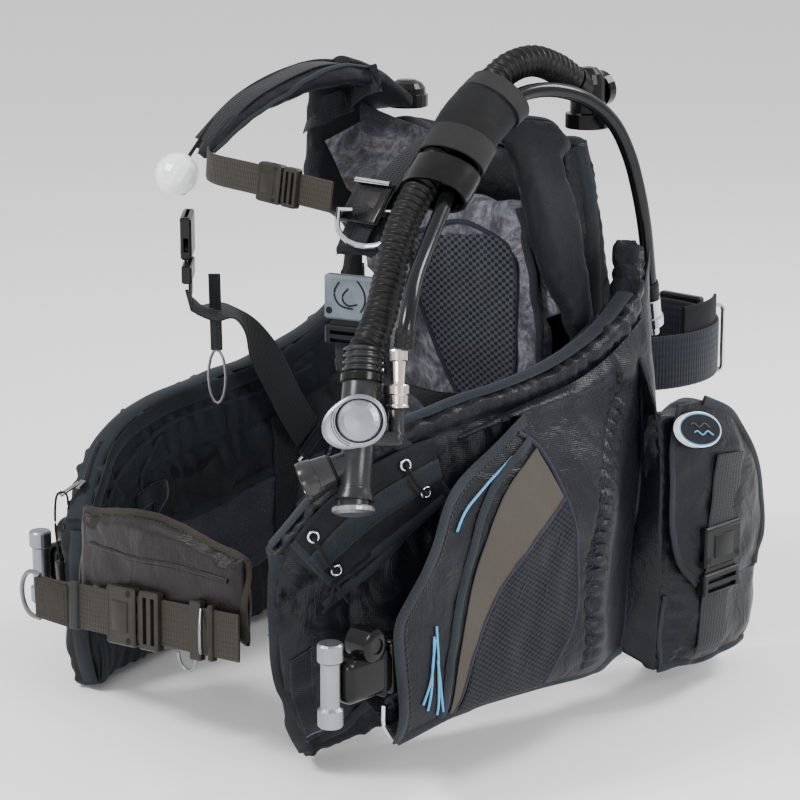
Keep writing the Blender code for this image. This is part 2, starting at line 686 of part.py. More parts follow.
def hose_wrap(name, span, half_wide, half_tall, thickness, rings, key):
    """Oval wrap round both hoses, open at both ends."""
    def surface(u, v):
        t = span[0] + (span[1] - span[0]) * u
        main = Vector(catmull(HOSE_ROUTE, t))
        ahead = Vector(catmull(HOSE_ROUTE, t + 0.01))
        along = (ahead - main).normalized()
        near = min((Vector(catmull(LP_ROUTE, i / 200)) for i in range(201)),
                   key=lambda p: (p - main).length)
        across = near - main
        across = (across - along * across.dot(along)).normalized()
        up = along.cross(across)
        centre = main + across * (half_wide - HOSE_RADIUS - 0.0026)
        angle = 2 * math.pi * v
        return centre + across * half_wide * math.cos(angle) + up * half_tall * math.sin(angle)

    bm = bmesh.new()
    around = 20
    rows = []
    for i in range(rings):
        rows.append([bm.verts.new(surface(i / (rings - 1), j / around)) for j in range(around)])
    for a, b in zip(rows, rows[1:]):
        for j in range(around):
            k = (j + 1) % around
            bm.faces.new((a[j], a[k], b[k], b[j]))
    obj = mesh_object(name, bm, key)
    mod = obj.modifiers.new("thickness", "SOLIDIFY")
    mod.thickness = thickness
    mod.offset = 1.0
    return obj


def elbow_valve():
    """Knurled ring, body, hose outlet and domed cover, clamped together as one valve."""
    matrix = Matrix.Translation((0.115, 0.109, 0.0))
    body = turned("elbow_valve", [(0.0, 0.5300), (0.0070, 0.5290), (0.0125, 0.5240), (0.0150, 0.5160),
                                  (0.0150, 0.4915), (0.0190, 0.4905), (0.0190, 0.4790), (0.0180, 0.4780),
                                  (0.0, 0.4780)], matrix, "plastic", 20)
    outlet = cylinder("elbow_outlet", 0.0128, 0.0180, (0.0100, 0, 0),
                      frame_at((0.115, 0.1065, 0.5105), (0, -0.87, 0.48), (0, 0.48, 0.87)), "plastic",
                      "X", 20, cutter=True)
    boolean(body, outlet, "UNION")
    turned("elbow_cap", [(0.0, 0.0078), (0.0075, 0.0070), (0.0125, 0.0050), (0.0152, 0.0020),
                         (0.0152, -0.0060), (0.0, -0.0060)],
           frame_at((0.115, 0.1265, 0.5100), (1, 0, 0), (0, 1, 0.15)), "plastic", 28, cutter=True)
    boolean(body, bpy.data.objects["elbow_cap"], "UNION")


def dump_valve(name, matrix):
    """Overpressure valve: knurled base ring and domed cover."""
    turned(name, [(0.0, 0.0250), (0.0080, 0.0243), (0.0140, 0.0215), (0.0172, 0.0170), (0.0176, 0.0120),
                  (0.0196, 0.0112), (0.0196, 0.0010), (0.0188, 0.0), (0.0, 0.0)], matrix, "plastic", 20)


def dump_ball():
    """Ball on the pull cord of the shoulder valve."""
    axis = Vector((-0.12, -0.62, -0.77)).normalized()
    ball_at = Vector((-0.1140, -0.1510, 0.4425))
    matrix = frame_at(ball_at, (1, 0, 0), -axis)
    profile = []
    radius = 0.0185
    for i in range(11):
        a = math.pi * i / 10
        profile.append((max(radius * math.sin(a), 0.0), radius * math.cos(a)))
    ball = turned("dump_ball", profile, matrix, "white", 18)
    socket = cylinder("dump_ball_socket", 0.0022, 0.012, (0, 0, radius), matrix, "white", "Z", 12,
                      cutter=True)
    boolean(ball, socket)


def inflator():
    matrix = frame_at(INFLATOR_TOP, SIDE_OUT, -INFLATOR_DOWN)
    ribs = [(0.0, -0.0006), (0.0128, -0.0006)]
    for i in range(4):
        top = -0.0016 - 0.0052 * i
        ribs += [(0.0158, top), (0.0158, top - 0.0026), (0.0140, top - 0.0036), (0.0140, top - 0.0048)]
    ribs += [(0.0146, -0.0230), (0.0150, -0.0500), (0.0150, -0.0620), (0.0110, -0.0740),
             (0.0104, -0.1090), (0.0128, -0.1110), (0.0128, -0.1170), (0.0, -0.1170)]
    body = turned("inflator_body", ribs, matrix, "plastic", 16)
    face_at = INFLATOR_TOP + INFLATOR_DOWN * 0.0560
    face = frame_at(face_at, SIDE_OUT, FACE_OUT)
    housing = turned("inflator_housing", [(0.0, 0.0165), (0.0172, 0.0165), (0.0182, 0.0152), (0.0182, -0.004),
                                          (0.0, -0.004)], face, "plastic", 24, cutter=True)
    boolean(body, housing, "UNION")
    aim = (INFLATOR_DOWN * 0.45 - SIDE_OUT).normalized()
    neck = cylinder("inflator_oral_neck", 0.0098, 0.018, (0.009, 0, 0),
                    frame_at(INFLATOR_TOP + INFLATOR_DOWN * 0.0860, aim, FACE_OUT), "plastic", "X", 20,
                    cutter=True)
    boolean(body, neck, "UNION")
    arm_at = INFLATOR_TOP + INFLATOR_DOWN * 0.0700 + SIDE_OUT * 0.0150
    arm = box("inflator_inlet_arm", (0.032, 0.012, 0.014), (0.002, 0, 0), frame_at(arm_at, SIDE_OUT, FACE_OUT),
              "plastic", 0.003, cutter=True)
    boolean(body, arm, "UNION")
    nipple_at = INFLATOR_TOP + INFLATOR_DOWN * 0.0640 + SIDE_OUT * 0.0280
    nipple = cylinder("inflator_nipple", 0.0062, 0.020, (0, 0, 0.006),
                      frame_at(nipple_at, SIDE_OUT, -INFLATOR_DOWN), "plastic", "Z", 16, cutter=True)
    boolean(body, nipple, "UNION")

    button = turned("inflate_button", [(0.0, 0.0035), (0.0110, 0.0030), (0.0150, 0.0014), (0.0158, 0.0),
                                       (0.0158, -0.0010), (0.0, -0.0010)],
                    frame_at(face_at + FACE_OUT * 0.0210, SIDE_OUT, FACE_OUT), "silver", 24)
    button.scale = (1.05, 0.92, 1.0)
    aim = (INFLATOR_DOWN * 0.45 - SIDE_OUT).normalized()
    mouth = frame_at(INFLATOR_TOP + INFLATOR_DOWN * 0.0860 + aim * 0.0185, aim, INFLATOR_DOWN)
    piece = cylinder("mouthpiece", 0.0125, 0.024, (0.012, 0, 0), mouth, "rubber", "X", 24, 0.002,
                     radius2=0.0150)
    hole = cylinder("mouthpiece_bore", 0.0085, 0.024, (0.018, 0, 0), mouth, "rubber", "X", 20, cutter=True)
    boolean(piece, hole)
    turned("exhaust_button", [(0.0, 0.0), (0.0150, 0.0), (0.0162, -0.0012), (0.0162, -0.0040),
                              (0.0120, -0.0060), (0.0, -0.0066)],
           frame_at(INFLATOR_TOP + INFLATOR_DOWN * 0.1215, SIDE_OUT, -INFLATOR_DOWN), "silver", 22)


def lp_fittings():
    """Quick release coupling on the inflator and the threaded end for the regulator."""
    base = INFLATOR_TOP + INFLATOR_DOWN * 0.0467 + SIDE_OUT * 0.0280
    up = (Vector(LP_ROUTE[0]) - base).normalized()
    length = (Vector(LP_ROUTE[0]) - base).length - 0.0008
    matrix = frame_at(base, SIDE_OUT, up)
    turned("lp_coupling", [(0.0, length), (0.0072, length), (0.0076, length - 0.001),
                           (0.0076, length - 0.0080), (0.0060, length - 0.0090), (0.0050, 0.0200),
                           (0.0050, 0.0004), (0.0, 0.0004)], matrix, "steel", 20)
    turned("lp_collar", [(0.0054, 0.0180), (0.0078, 0.0180), (0.0086, 0.0170), (0.0086, 0.0110),
                         (0.0078, 0.0100), (0.0078, 0.0030), (0.0084, 0.0020), (0.0084, 0.0006),
                         (0.0054, 0.0006), (0.0054, 0.0180)], matrix, "steel", 24)
    end = Vector(LP_ROUTE[-1])
    down = (end - smooth_route(LP_ROUTE, LP_POINTS)[-2]).normalized()
    matrix = frame_at(end, down.cross(Vector((0, 1, 0))), -down)
    turned("lp_fitting", [(0.0, -0.0022), (0.0076, -0.0022), (0.0080, -0.0030), (0.0080, -0.0200),
                          (0.0095, -0.0205), (0.0095, -0.0290), (0.0050, -0.0300), (0.0050, -0.0390),
                          (0.0, -0.0390)], matrix, "steel", 20)


# ---------------------------------------------------------------- pockets and weights
def weight_pocket(name, side, front, length, bottom, top):
    """Outer panel of the weight pocket; the pouch slides between it and the lobe."""
    base = [(0.2105,), (0.2125,), (0.2130,), (0.2130,), (0.2110,)]
    fullness = [(1.0,), (1.0,), (1.0,), (1.0,), (0.12,)]
    bulge = [(0.012,), (0.031,), (0.0325,), (0.0325,), (0.0325,), (0.020,), (0.003,)]

    def surface(u, v):
        x = catmull(base, u)[0] + catmull(bulge, v)[0] * catmull(fullness, u)[0]
        return Vector((side * x, front + length * u, bottom + (top - bottom - 0.012 * u) * v))

    slab(name, surface, 8, 8, 0.0045, "nylon")


def weight_pouch(name, side, front, height):
    """Ballast pouch with its moulded handle; front is where the pouch begins."""
    place = Matrix.Translation((side * POUCH_X, front, height))
    pouch = box("weight_pouch_" + name, (0.0230, POUCH_LENGTH, 0.0800), (0, POUCH_LENGTH / 2, 0), place,
                "nylon", 0.005)
    handle = box("weight_handle", (0.0200, 0.1060, 0.0380), (0, -0.0440, 0), place, "plastic", 0.003,
                 cutter=True)
    hub = cylinder("weight_hub", 0.0130, 0.0240, (0, -0.0300, 0.0160), place, "plastic", "X", 20, cutter=True)
    finger = box("weight_finger_gap", (0.040, 0.0180, 0.0220), (0, -0.0840, -0.0040), place, "plastic",
                 cutter=True)
    boolean(pouch, handle, "UNION")
    boolean(pouch, hub, "UNION")
    boolean(pouch, finger)
    profile = [(0.0, 0.0330), (0.0085, 0.0326), (0.0098, 0.0312), (0.0098, 0.0190), (0.0074, 0.0170),
               (0.0074, -0.0170), (0.0098, -0.0190), (0.0098, -0.0312), (0.0085, -0.0326), (0.0, -0.0330)]
    turned("weight_tbar_" + name, profile, place @ Matrix.Translation((0, -0.1074, 0)), "silver", 20)


def trim_pocket(name, side, shift, low, high):
    """Pouch for trim weight on the rear corner of a lobe."""
    outline = [(0.2170, 0.058), (0.2380, 0.066), (0.2425, 0.100), (0.2420, 0.150), (0.2340, 0.200),
               (0.2100, 0.2360), (0.1860, 0.2300), (0.1800, 0.180), (0.1800, 0.146), (0.2000, 0.118),
               (0.2120, 0.090)]
    outline = [(side * x, y + shift) for x, y in outline]
    if side < 0:
        outline.reverse()
    plate(name, [outline], high - low, Matrix.Translation((0, 0, (low + high) / 2)), "nylon", 0.004)


def main():
    jacket_back()
    lobe("jacket_left", LEFT_LOBE, LEFT_LEAN)
    lobe("jacket_right", RIGHT_LOBE, RIGHT_LEAN)
    back_pad()
    backplate()
    tank_band()
    tank_buckle()
    tank_ring()
    shoulder("shoulder_left", LEFT_SHOULDER, LEFT_SHOULDER_WIDTHS, (0.95, 0.3, 0), 1)
    shoulder("shoulder_right", RIGHT_SHOULDER, RIGHT_SHOULDER_WIDTHS, (0.69, -0.72, 0), -1)
    for name, values in BUCKLES.items():
        buckle(name, *values)
    waist_belt()
    chest_strap()
    cummerbund("cummerbund", -0.122, 0.086, -0.2560, 0.098, 0.172)
    lower_straps()
    strap_rings()
    corrugated_hose()
    hose_wrap("hose_sleeve", SLEEVE_SPAN, 0.0250, 0.0168, 0.0022, 9, "nylon")
    hose_wrap("hose_clip", CLIP_SPAN, 0.0262, 0.0176, 0.0024, 3, "plastic")
    elbow_valve()
    dump_valve("shoulder_dump_valve", frame_at((-0.100, 0.112, 0.4765), (1, 0, 0), (0, 0, 1)))
    dump_valve("rear_dump_valve", frame_at((-0.104, 0.1615, 0.090), (1, 0, 0), (0.25, 1, 0)))
    dump_ball()
    inflator()
    lp_fittings()
    weight_pocket("weight_pocket_left", 1, -0.196, 0.242, 0.035, 0.285)
    weight_pocket("weight_pocket_right", -1, -0.111, 0.205, 0.010, 0.195)
    weight_pouch("left", 1, -0.200, 0.118)
    weight_pouch("right", -1, -0.115, 0.090)
    trim_pocket("trim_pocket_left", 1, 0.0, 0.025, 0.262)
    trim_pocket("trim_pocket_right", -1, 0.042, 0.012, 0.212)
    for collection in (PARTS, CUTTERS):
        for obj in collection.objects:
            obj.matrix_world = Matrix.Translation(STAND) @ obj.matrix_world


main()
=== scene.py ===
"""Looks of the buoyancy vest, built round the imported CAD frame."""
import json
import math

import bmesh
import bpy
import numpy as np
from mathutils import Matrix, Vector, noise
from mathutils.bvhtree import BVHTree

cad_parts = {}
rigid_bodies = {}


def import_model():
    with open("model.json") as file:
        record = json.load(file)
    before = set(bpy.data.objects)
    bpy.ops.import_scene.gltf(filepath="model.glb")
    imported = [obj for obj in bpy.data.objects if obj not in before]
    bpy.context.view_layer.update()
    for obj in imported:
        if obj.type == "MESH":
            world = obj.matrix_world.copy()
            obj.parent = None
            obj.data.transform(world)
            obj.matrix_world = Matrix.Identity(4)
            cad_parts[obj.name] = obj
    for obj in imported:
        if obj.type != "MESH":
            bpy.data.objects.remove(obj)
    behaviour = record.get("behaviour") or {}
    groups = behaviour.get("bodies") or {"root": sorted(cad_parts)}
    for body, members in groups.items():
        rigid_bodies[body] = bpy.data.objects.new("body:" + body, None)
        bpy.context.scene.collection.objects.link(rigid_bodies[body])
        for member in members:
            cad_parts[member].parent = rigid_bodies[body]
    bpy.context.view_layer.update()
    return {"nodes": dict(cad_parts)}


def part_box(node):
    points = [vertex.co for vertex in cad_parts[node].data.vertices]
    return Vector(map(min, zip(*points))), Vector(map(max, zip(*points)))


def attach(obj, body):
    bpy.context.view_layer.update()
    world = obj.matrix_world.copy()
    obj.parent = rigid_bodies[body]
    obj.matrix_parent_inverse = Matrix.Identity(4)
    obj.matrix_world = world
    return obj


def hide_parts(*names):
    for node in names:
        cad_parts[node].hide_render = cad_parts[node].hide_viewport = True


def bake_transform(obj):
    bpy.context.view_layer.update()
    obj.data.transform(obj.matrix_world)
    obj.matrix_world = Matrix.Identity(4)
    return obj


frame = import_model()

NODES = frame["nodes"]
STAND = Vector((0.0, -0.0420, 0.0013))      # the drawing's origin, moved to the footprint
ROOT = "vest"
UP = Vector((0, 0, 1))
SCENE = bpy.context.scene


def at(*xyz):
    """Point of the drawing, in the row frame."""
    return Vector(xyz) + STAND


# ------------------------------------------------------------------ camera and light
def camera_and_light():
    target = Vector((0.0, -0.0420, 0.2413))
    azimuth, elevation, distance = math.radians(44), math.radians(14), 2.2
    away = Vector((math.sin(azimuth) * math.cos(elevation), -math.cos(azimuth) * math.cos(elevation),
                   math.sin(elevation)))
    data = bpy.data.cameras.new("camera")
    data.sensor_width = 36
    data.lens = 113.85
    camera = bpy.data.objects.new("camera", data)
    SCENE.collection.objects.link(camera)
    camera.location = target + away * distance
    camera.rotation_euler = (target - camera.location).to_track_quat("-Z", "Y").to_euler()
    SCENE.camera = camera
    world = bpy.data.worlds.new("studio")
    SCENE.world = world
    world.use_nodes = True
    world.node_tree.nodes["Background"].inputs[0].default_value = (1.0, 1.0, 1.0, 1)
    world.node_tree.nodes["Background"].inputs[1].default_value = 1.05
    for name, place, size, power in (
            ("key", (-0.6, -1.8, 2.1), 0.6, 60), ("fill", (2.4, -0.4, 1.3), 0.8, 36),
            ("rim", (0.9, 1.6, 1.9), 0.8, 44), ("front", (1.3, -2.2, 0.4), 0.5, 12)):
        lamp = bpy.data.lights.new(name, "AREA")
        lamp.size = size
        lamp.energy = power
        obj = bpy.data.objects.new(name, lamp)
        obj.location = place
        obj.rotation_euler = (target - Vector(place)).to_track_quat("-Z", "Y").to_euler()
        SCENE.collection.objects.link(obj)


# ------------------------------------------------------------------ curves and grids
def catmull(points, t):
    count = len(points) - 1
    place = min(max(t, 0.0), 1.0) * count
    index = min(int(place), count - 1)
    f = place - index
    p0, p1, p2 = points[max(index - 1, 0)], points[index], points[index + 1]
    p3 = points[min(index + 2, count)]
    out = []
    for a, b, c, d in zip(p0, p1, p2, p3):
        out.append(0.5 * (2 * b + (c - a) * f + (2 * a - 5 * b + 4 * c - d) * f * f
                          + (3 * b - a - 3 * c + d) * f ** 3))
    return out


def even(points, step):
    """Points a fixed step apart on a smooth curve through the given ones."""
    fine = [Vector(catmull(points, i / 400)) for i in range(401)]
    lengths = [0.0]
    for a, b in zip(fine, fine[1:]):
        lengths.append(lengths[-1] + (b - a).length)
    count = max(2, round(lengths[-1] / step) + 1)
    out = []
    j = 0
    for i in range(count):
        goal = lengths[-1] * i / (count - 1)
        while j < 399 and lengths[j + 1] < goal:
            j += 1
        span = lengths[j + 1] - lengths[j] or 1.0
        out.append(fine[j].lerp(fine[j + 1], min(max((goal - lengths[j]) / span, 0), 1)))
    return out


def tangents(points, closed=False):
    out = []
    n = len(points)
    for i in range(n):
        a = points[i - 1] if i or closed else points[0]
        b = points[(i + 1) % n] if i < n - 1 or closed else points[-1]
        out.append((Vector(b) - Vector(a)).normalized())
    return out


# ------------------------------------------------------------------ materials
class Look:
    """A Principled material with short calls for procedural nodes."""

    def __init__(self, name, colour, rough=0.6, metal=0.0, sheen=0.0, spec=0.5, coat=0.0):
        self.material = bpy.data.materials.new(name)
        self.material.use_nodes = True
        self.tree = self.material.node_tree
        self.shader = self.tree.nodes["Principled BSDF"]
        self.set("Base Color", (*colour, 1))
        self.set("Roughness", rough)
        self.set("Metallic", metal)
        self.set("Specular IOR Level", spec)
        self.set("Sheen Weight", sheen)
        self.set("Coat Weight", coat)
        self.colour = (*colour, 1)
        self.bumped = None
        self.material.diffuse_color = self.colour

    def set(self, name, value):
        self.shader.inputs[name].default_value = value

    def add(self, kind, **values):
        node = self.tree.nodes.new(kind)
        for key, value in values.items():
            if key in node.bl_rna.properties:
                setattr(node, key, value)
            else:
                node.inputs[key].default_value = value
        return node

    def link(self, a, b):
        self.tree.links.new(a, b)

    def place(self, uv=False, scale=(1, 1, 1)):
        coordinates = self.add("ShaderNodeTexCoord")
        mapping = self.add("ShaderNodeMapping")
        mapping.inputs["Scale"].default_value = scale
        self.link(coordinates.outputs["UV" if uv else "Object"], mapping.inputs["Vector"])
        return mapping.outputs["Vector"]

    def noise(self, scale, detail=2.0, rough=0.5, distort=0.0, where=None):
        node = self.add("ShaderNodeTexNoise", Scale=scale, Detail=detail, Roughness=rough, Distortion=distort)
        self.link(where or self.place(), node.inputs["Vector"])
        return node.outputs["Fac"]

    def math(self, operation, a, b=None):
        node = self.add("ShaderNodeMath", operation=operation)
        for socket, value in zip(node.inputs, (a, b)):
            if value is None:
                continue
            if isinstance(value, (int, float)):
                socket.default_value = value
            else:
                self.link(value, socket)
        return node.outputs[0]

    def ramp(self, factor, stops):
        node = self.add("ShaderNodeValToRGB")
        elements = node.color_ramp.elements
        while len(elements) < len(stops):
            elements.new(0.5)
        for element, (place, colour) in zip(elements, stops):
            element.position = place
            element.color = (*colour, 1) if len(colour) == 3 else colour
        self.link(factor, node.inputs["Fac"])
        return node.outputs["Color"]

    def mix(self, factor, a, b):
        node = self.add("ShaderNodeMix", data_type="RGBA", blend_type="MIX")
        for socket, value in ((node.inputs[0], factor), (node.inputs[6], a), (node.inputs[7], b)):
            if isinstance(value, (int, float)):
                socket.default_value = value
            elif isinstance(value, tuple):
                socket.default_value = value if len(value) == 4 else (*value, 1)
            else:
                self.link(value, socket)
        return node.outputs[2]

    def colour_from(self, socket):
        self.link(socket, self.shader.inputs["Base Color"])

    def rough_from(self, factor, low, high):
        node = self.add("ShaderNodeMapRange")
        node.inputs["To Min"].default_value = low
        node.inputs["To Max"].default_value = high
        self.link(factor, node.inputs["Value"])
        self.link(node.outputs[0], self.shader.inputs["Roughness"])

    def bump(self, height, strength, distance):
        node = self.add("ShaderNodeBump", Strength=strength, Distance=distance)
        self.link(height, node.inputs["Height"])
        if self.bumped:
            self.link(self.bumped, node.inputs["Normal"])
        self.bumped = node.outputs["Normal"]
        self.link(self.bumped, self.shader.inputs["Normal"])

    def wave(self, direction, period, where=None):
        """Sine ridges across a direction, one each period."""
        dot = self.add("ShaderNodeVectorMath", operation="DOT_PRODUCT")
        self.link(where or self.place(), dot.inputs[0])
        dot.inputs[1].default_value = [2 * math.pi / period * c for c in direction]
        return self.math("SINE", dot.outputs["Value"])


def weave(look, period):
    """Height of two crossing sets of yarns."""
    warp, weft = look.wave((0.7, 0.62, 0.72), period), look.wave((0.66, 0.5, -0.75), period)
    return look.math("MULTIPLY_ADD", look.math("MULTIPLY", warp, weft), 0.5)


def shaded(colour, factor, extra=0.0):
    return tuple(c * factor + extra for c in colour)


def fabric(name, colour, speck=0.35, period=0.0022, rough=0.62, sheen=0.25, crease=0.35, blotch=0.25,
           fleck=None, spec=0.12):
    """Woven cloth: yarns, flecks, slow shade changes and soft creases."""
    look = Look(name, colour, rough, sheen=sheen, spec=spec)
    look.set("Sheen Roughness", 0.45)
    look.set("Sheen Tint", (0.75, 0.82, 1.0, 1))
    shade = look.noise(16.0, 3.0, 0.55)
    base = look.ramp(shade, [(0.3, shaded(colour, 1 - blotch)), (0.7, shaded(colour, 1 + blotch))])
    fine = look.noise(950.0, 2.0, 0.7)
    fleck = fleck or tuple(min(1.0, c) for c in shaded(colour, 3.2, 0.012))
    amount = look.ramp(fine, [(0.56, (0, 0, 0)), (0.70, (speck, speck, speck))])
    look.colour_from(look.mix(amount, base, fleck))
    look.bump(weave(look, period), 0.35, 0.0005)
    if crease:
        folds = look.noise(34.0, 4.0, 0.55, 1.2)
        look.bump(folds, crease, 0.006)
    look.rough_from(look.noise(60.0, 3.0), rough - 0.10, rough + 0.12)
    return look.material


def webbing(name, colour, rib=0.0021):
    """Ribbed nylon tape, with painted shade in the rib grooves and painted highlight on the rib crests; UV is in
    metres, across and along.
    """
    look = Look(name, colour, 0.6, sheen=0.06, spec=0.12)
    uv = look.place(uv=True)
    ribs = look.wave((0, 1, 0), rib, uv)
    lines = look.wave((1, 0, 0), rib * 1.9, uv)
    both = look.math("MULTIPLY_ADD", ribs, 0.6)
    both = look.math("ADD", both, look.math("MULTIPLY", lines, 0.5))
    # colour follows the rib height: painted shade in the grooves, painted highlight on the crests
    base = look.ramp(look.math("MULTIPLY_ADD", both, 0.35),
                     [(0.0, shaded(colour, 0.62)), (0.75, shaded(colour, 1.35, 0.004))])
    fine = look.noise(1100.0, 2.0, 0.7)
    amount = look.ramp(fine, [(0.55, (0, 0, 0)), (0.72, (0.5, 0.5, 0.5))])
    look.colour_from(look.mix(amount, base, shaded(colour, 2.4, 0.01)))
    look.bump(both, 0.5, 0.0006)
    look.bump(look.noise(45.0, 3.0), 0.2, 0.003)
    return look.material


def plastic(name, colour, rough=0.38, grain=0.12, coat=0.0, spec=0.2):
    look = Look(name, colour, rough, spec=spec, coat=coat)
    look.bump(look.noise(1500.0, 2.0), grain, 0.0004)
    wear = look.noise(70.0, 4.0, 0.6)
    look.colour_from(look.ramp(wear, [(0.35, shaded(colour, 0.85)), (0.75, shaded(colour, 1.25, 0.002))]))
    look.rough_from(look.noise(120.0, 3.0), rough - 0.07, rough + 0.1)
    return look.material


def metal(name, colour, rough=0.2):
    look = Look(name, colour, rough, metal=1.0)
    streak = look.noise(30.0, 4.0, 0.6, 0.4, look.place(scale=(1, 1, 14)))
    look.rough_from(streak, rough - 0.06, rough + 0.16)
    look.bump(look.noise(600.0, 2.0), 0.05, 0.0003)
    look.colour_from(look.ramp(look.noise(25.0, 3.0), [(0.3, shaded(colour, 0.86)), (0.7, colour)]))
    return look.material


def mottled(name, dark, mid, warm, pale):
    """Printed lining with soft smoky clouds and fine lines, puckered."""
    look = Look(name, mid, 0.6, sheen=0.08, spec=0.15)
    cloud = look.noise(15.0, 5.0, 0.62, 2.2)
    base = look.ramp(cloud, [(0.30, dark), (0.44, mid), (0.56, pale), (0.68, warm), (0.80, mid)])
    lines = look.math("ABSOLUTE", look.wave((0.2, 0.25, 1.0), 0.021))
    smoke = look.noise(48.0, 5.0, 0.7, 3.0)
    base = look.mix(look.ramp(smoke, [(0.42, (0, 0, 0)), (0.62, (0.65, 0.65, 0.65))]), base, dark)
    look.colour_from(look.mix(look.math("MULTIPLY", lines, 0.15), base, dark))
    look.bump(weave(look, 0.0024), 0.4, 0.0006)
    look.bump(look.noise(42.0, 4.0, 0.6, 1.8), 0.55, 0.008)
    look.rough_from(smoke, 0.5, 0.72)
    return look.material


def hex_mesh(name, dark, pale, period=0.0052):
    """Open spacer mesh: rows of small diamond holes, coloured dark as painted shade where the holes sink in."""
    look = Look(name, pale, 0.65, sheen=0.05, spec=0.12)
    a = look.wave((0.6, 0.5, 0.8), period)
    b = look.wave((0.6, 0.5, -0.8), period)
    holes = look.math("ADD", look.math("MULTIPLY", a, 0.5), look.math("MULTIPLY", b, 0.5))
    # the recessed holes take the dark colour: painted shade
    look.colour_from(look.ramp(look.math("MULTIPLY_ADD", holes, 0.5),
                               [(0.0, pale), (0.42, pale), (0.62, dark), (1.0, dark)]))
    look.bump(holes, -0.6, 0.0010)
    look.bump(look.noise(30.0, 3.0), 0.3, 0.006)
    return look.material


MAT = {}


def make_materials():
    MAT["nylon"] = fabric("nylon", (0.0042, 0.0050, 0.0066), speck=0.22, rough=0.40, sheen=0.02, crease=0.5,
                          spec=0.20)
    MAT["nylon_soft"] = fabric("nylon_soft", (0.0075, 0.0085, 0.0102), speck=0.32, rough=0.58, sheen=0.04)
    MAT["lining"] = fabric("lining", (0.0110, 0.0138, 0.0150), speck=0.12, rough=0.52, sheen=0.05, crease=0.4)
    MAT["mesh_lining"] = fabric("mesh_lining", (0.026, 0.029, 0.038), speck=0.75, period=0.0034, rough=0.7,
                                sheen=0.08, crease=0.2)
    MAT["binding"] = fabric("binding", (0.0125, 0.0155, 0.0185), speck=0.40, period=0.0018, rough=0.66,
                            sheen=0.08, crease=0.1)
    MAT["piping"] = fabric("piping", (0.015, 0.016, 0.026), speck=0.30, period=0.0018, rough=0.6,
                           sheen=0.08, crease=0.0)
    MAT["taupe"] = fabric("taupe", (0.054, 0.048, 0.040), speck=0.05, period=0.0018, rough=0.75, sheen=0.0,
                          crease=0.05, blotch=0.05, spec=0.15)
    MAT["satin"] = fabric("satin", (0.0072, 0.0052, 0.0052), speck=0.10, rough=0.40, sheen=0.02, crease=0.3,
                          fleck=(0.05, 0.05, 0.08), spec=0.22)
    MAT["olive_tape"] = fabric("olive_tape", (0.022, 0.0185, 0.0140), speck=0.25, period=0.0018, rough=0.6,
                               sheen=0.04, crease=0.1)
    MAT["neoprene"] = fabric("neoprene", (0.0062, 0.0062, 0.0066), speck=0.12, period=0.0014, rough=0.7,
                             sheen=0.04, crease=0.15)
    MAT["neoprene_band"] = fabric("neoprene_band", (0.014, 0.0135, 0.013), speck=0.2, period=0.0016,
                                  rough=0.7, sheen=0.08, crease=0.1)
    MAT["velcro"] = fabric("velcro", (0.0070, 0.0082, 0.0095), speck=0.6, period=0.0030, rough=0.85, crease=0.1)
    MAT["mottled"] = mottled("mottled", (0.018, 0.019, 0.024), (0.085, 0.088, 0.106), (0.120, 0.094, 0.084),
                             (0.190, 0.195, 0.225))
    MAT["hex"] = hex_mesh("hex", (0.006, 0.007, 0.009), (0.046, 0.050, 0.062))
    MAT["speckle_mesh"] = hex_mesh("speckle_mesh", (0.0028, 0.0032, 0.0045), (0.0140, 0.0155, 0.0195), 0.0036)
    MAT["web_olive"] = webbing("web_olive", (0.0165, 0.0142, 0.0105))
    MAT["web_dark"] = webbing("web_dark", (0.0062, 0.0070, 0.0090))
    MAT["web_blue"] = webbing("web_blue", (0.0060, 0.0080, 0.0125), rib=0.0034)
    MAT["web_grey"] = webbing("web_grey", (0.0125, 0.0135, 0.0150))
    MAT["black_plastic"] = plastic("black_plastic", (0.0048, 0.0050, 0.0058), 0.32, spec=0.16)
    MAT["gloss_plastic"] = plastic("gloss_plastic", (0.0030, 0.0030, 0.0034), 0.20, 0.03, spec=0.22)
    MAT["olive_plastic"] = plastic("olive_plastic", (0.0190, 0.0165, 0.0125), 0.38, spec=0.18)
    MAT["grey_plastic"] = plastic("grey_plastic", (0.0125, 0.0130, 0.0140), 0.26, spec=0.30)
    MAT["pale_plastic"] = plastic("pale_plastic", (0.105, 0.128, 0.150), 0.36)
    MAT["silver"] = metal("silver", (0.27, 0.285, 0.31), 0.34)
    MAT["white"] = plastic("white", (0.78, 0.79, 0.81), 0.22, 0.02, 0.5)
    MAT["cord_blue"] = fabric("cord_blue", (0.075, 0.27, 0.48), speck=0.2, period=0.0012, rough=0.6, crease=0)
    MAT["cord_black"] = fabric("cord_black", (0.0050, 0.0050, 0.0062), speck=0.3, period=0.0012, crease=0,
                               sheen=0.05)
    MAT["thread"] = fabric("thread", (0.045, 0.048, 0.054), speck=0.2, period=0.0010, crease=0, sheen=0.05)
    MAT["rubber"] = plastic("rubber", (0.0075, 0.0075, 0.0080), 0.40, 0.2, spec=0.16)
    MAT["hose_gloss"] = plastic("hose_gloss", (0.0034, 0.0037, 0.0048), 0.17, 0.05, spec=0.28)
    MAT["mouth_rubber"] = plastic("mouth_rubber", (0.0135, 0.0135, 0.0145), 0.22, 0.08, spec=0.40)
    MAT["steel"] = metal("steel", (0.60, 0.61, 0.64), 0.18)
    MAT["copper_steel"] = metal("copper_steel", (0.66, 0.56, 0.52), 0.14)
    MAT["dark_steel"] = metal("dark_steel", (0.24, 0.24, 0.26), 0.30)


# ------------------------------------------------------------------ mesh helpers
def new_cloth():
    bm = bmesh.new()
    return bm, bm.loops.layers.uv.new("UVMap")


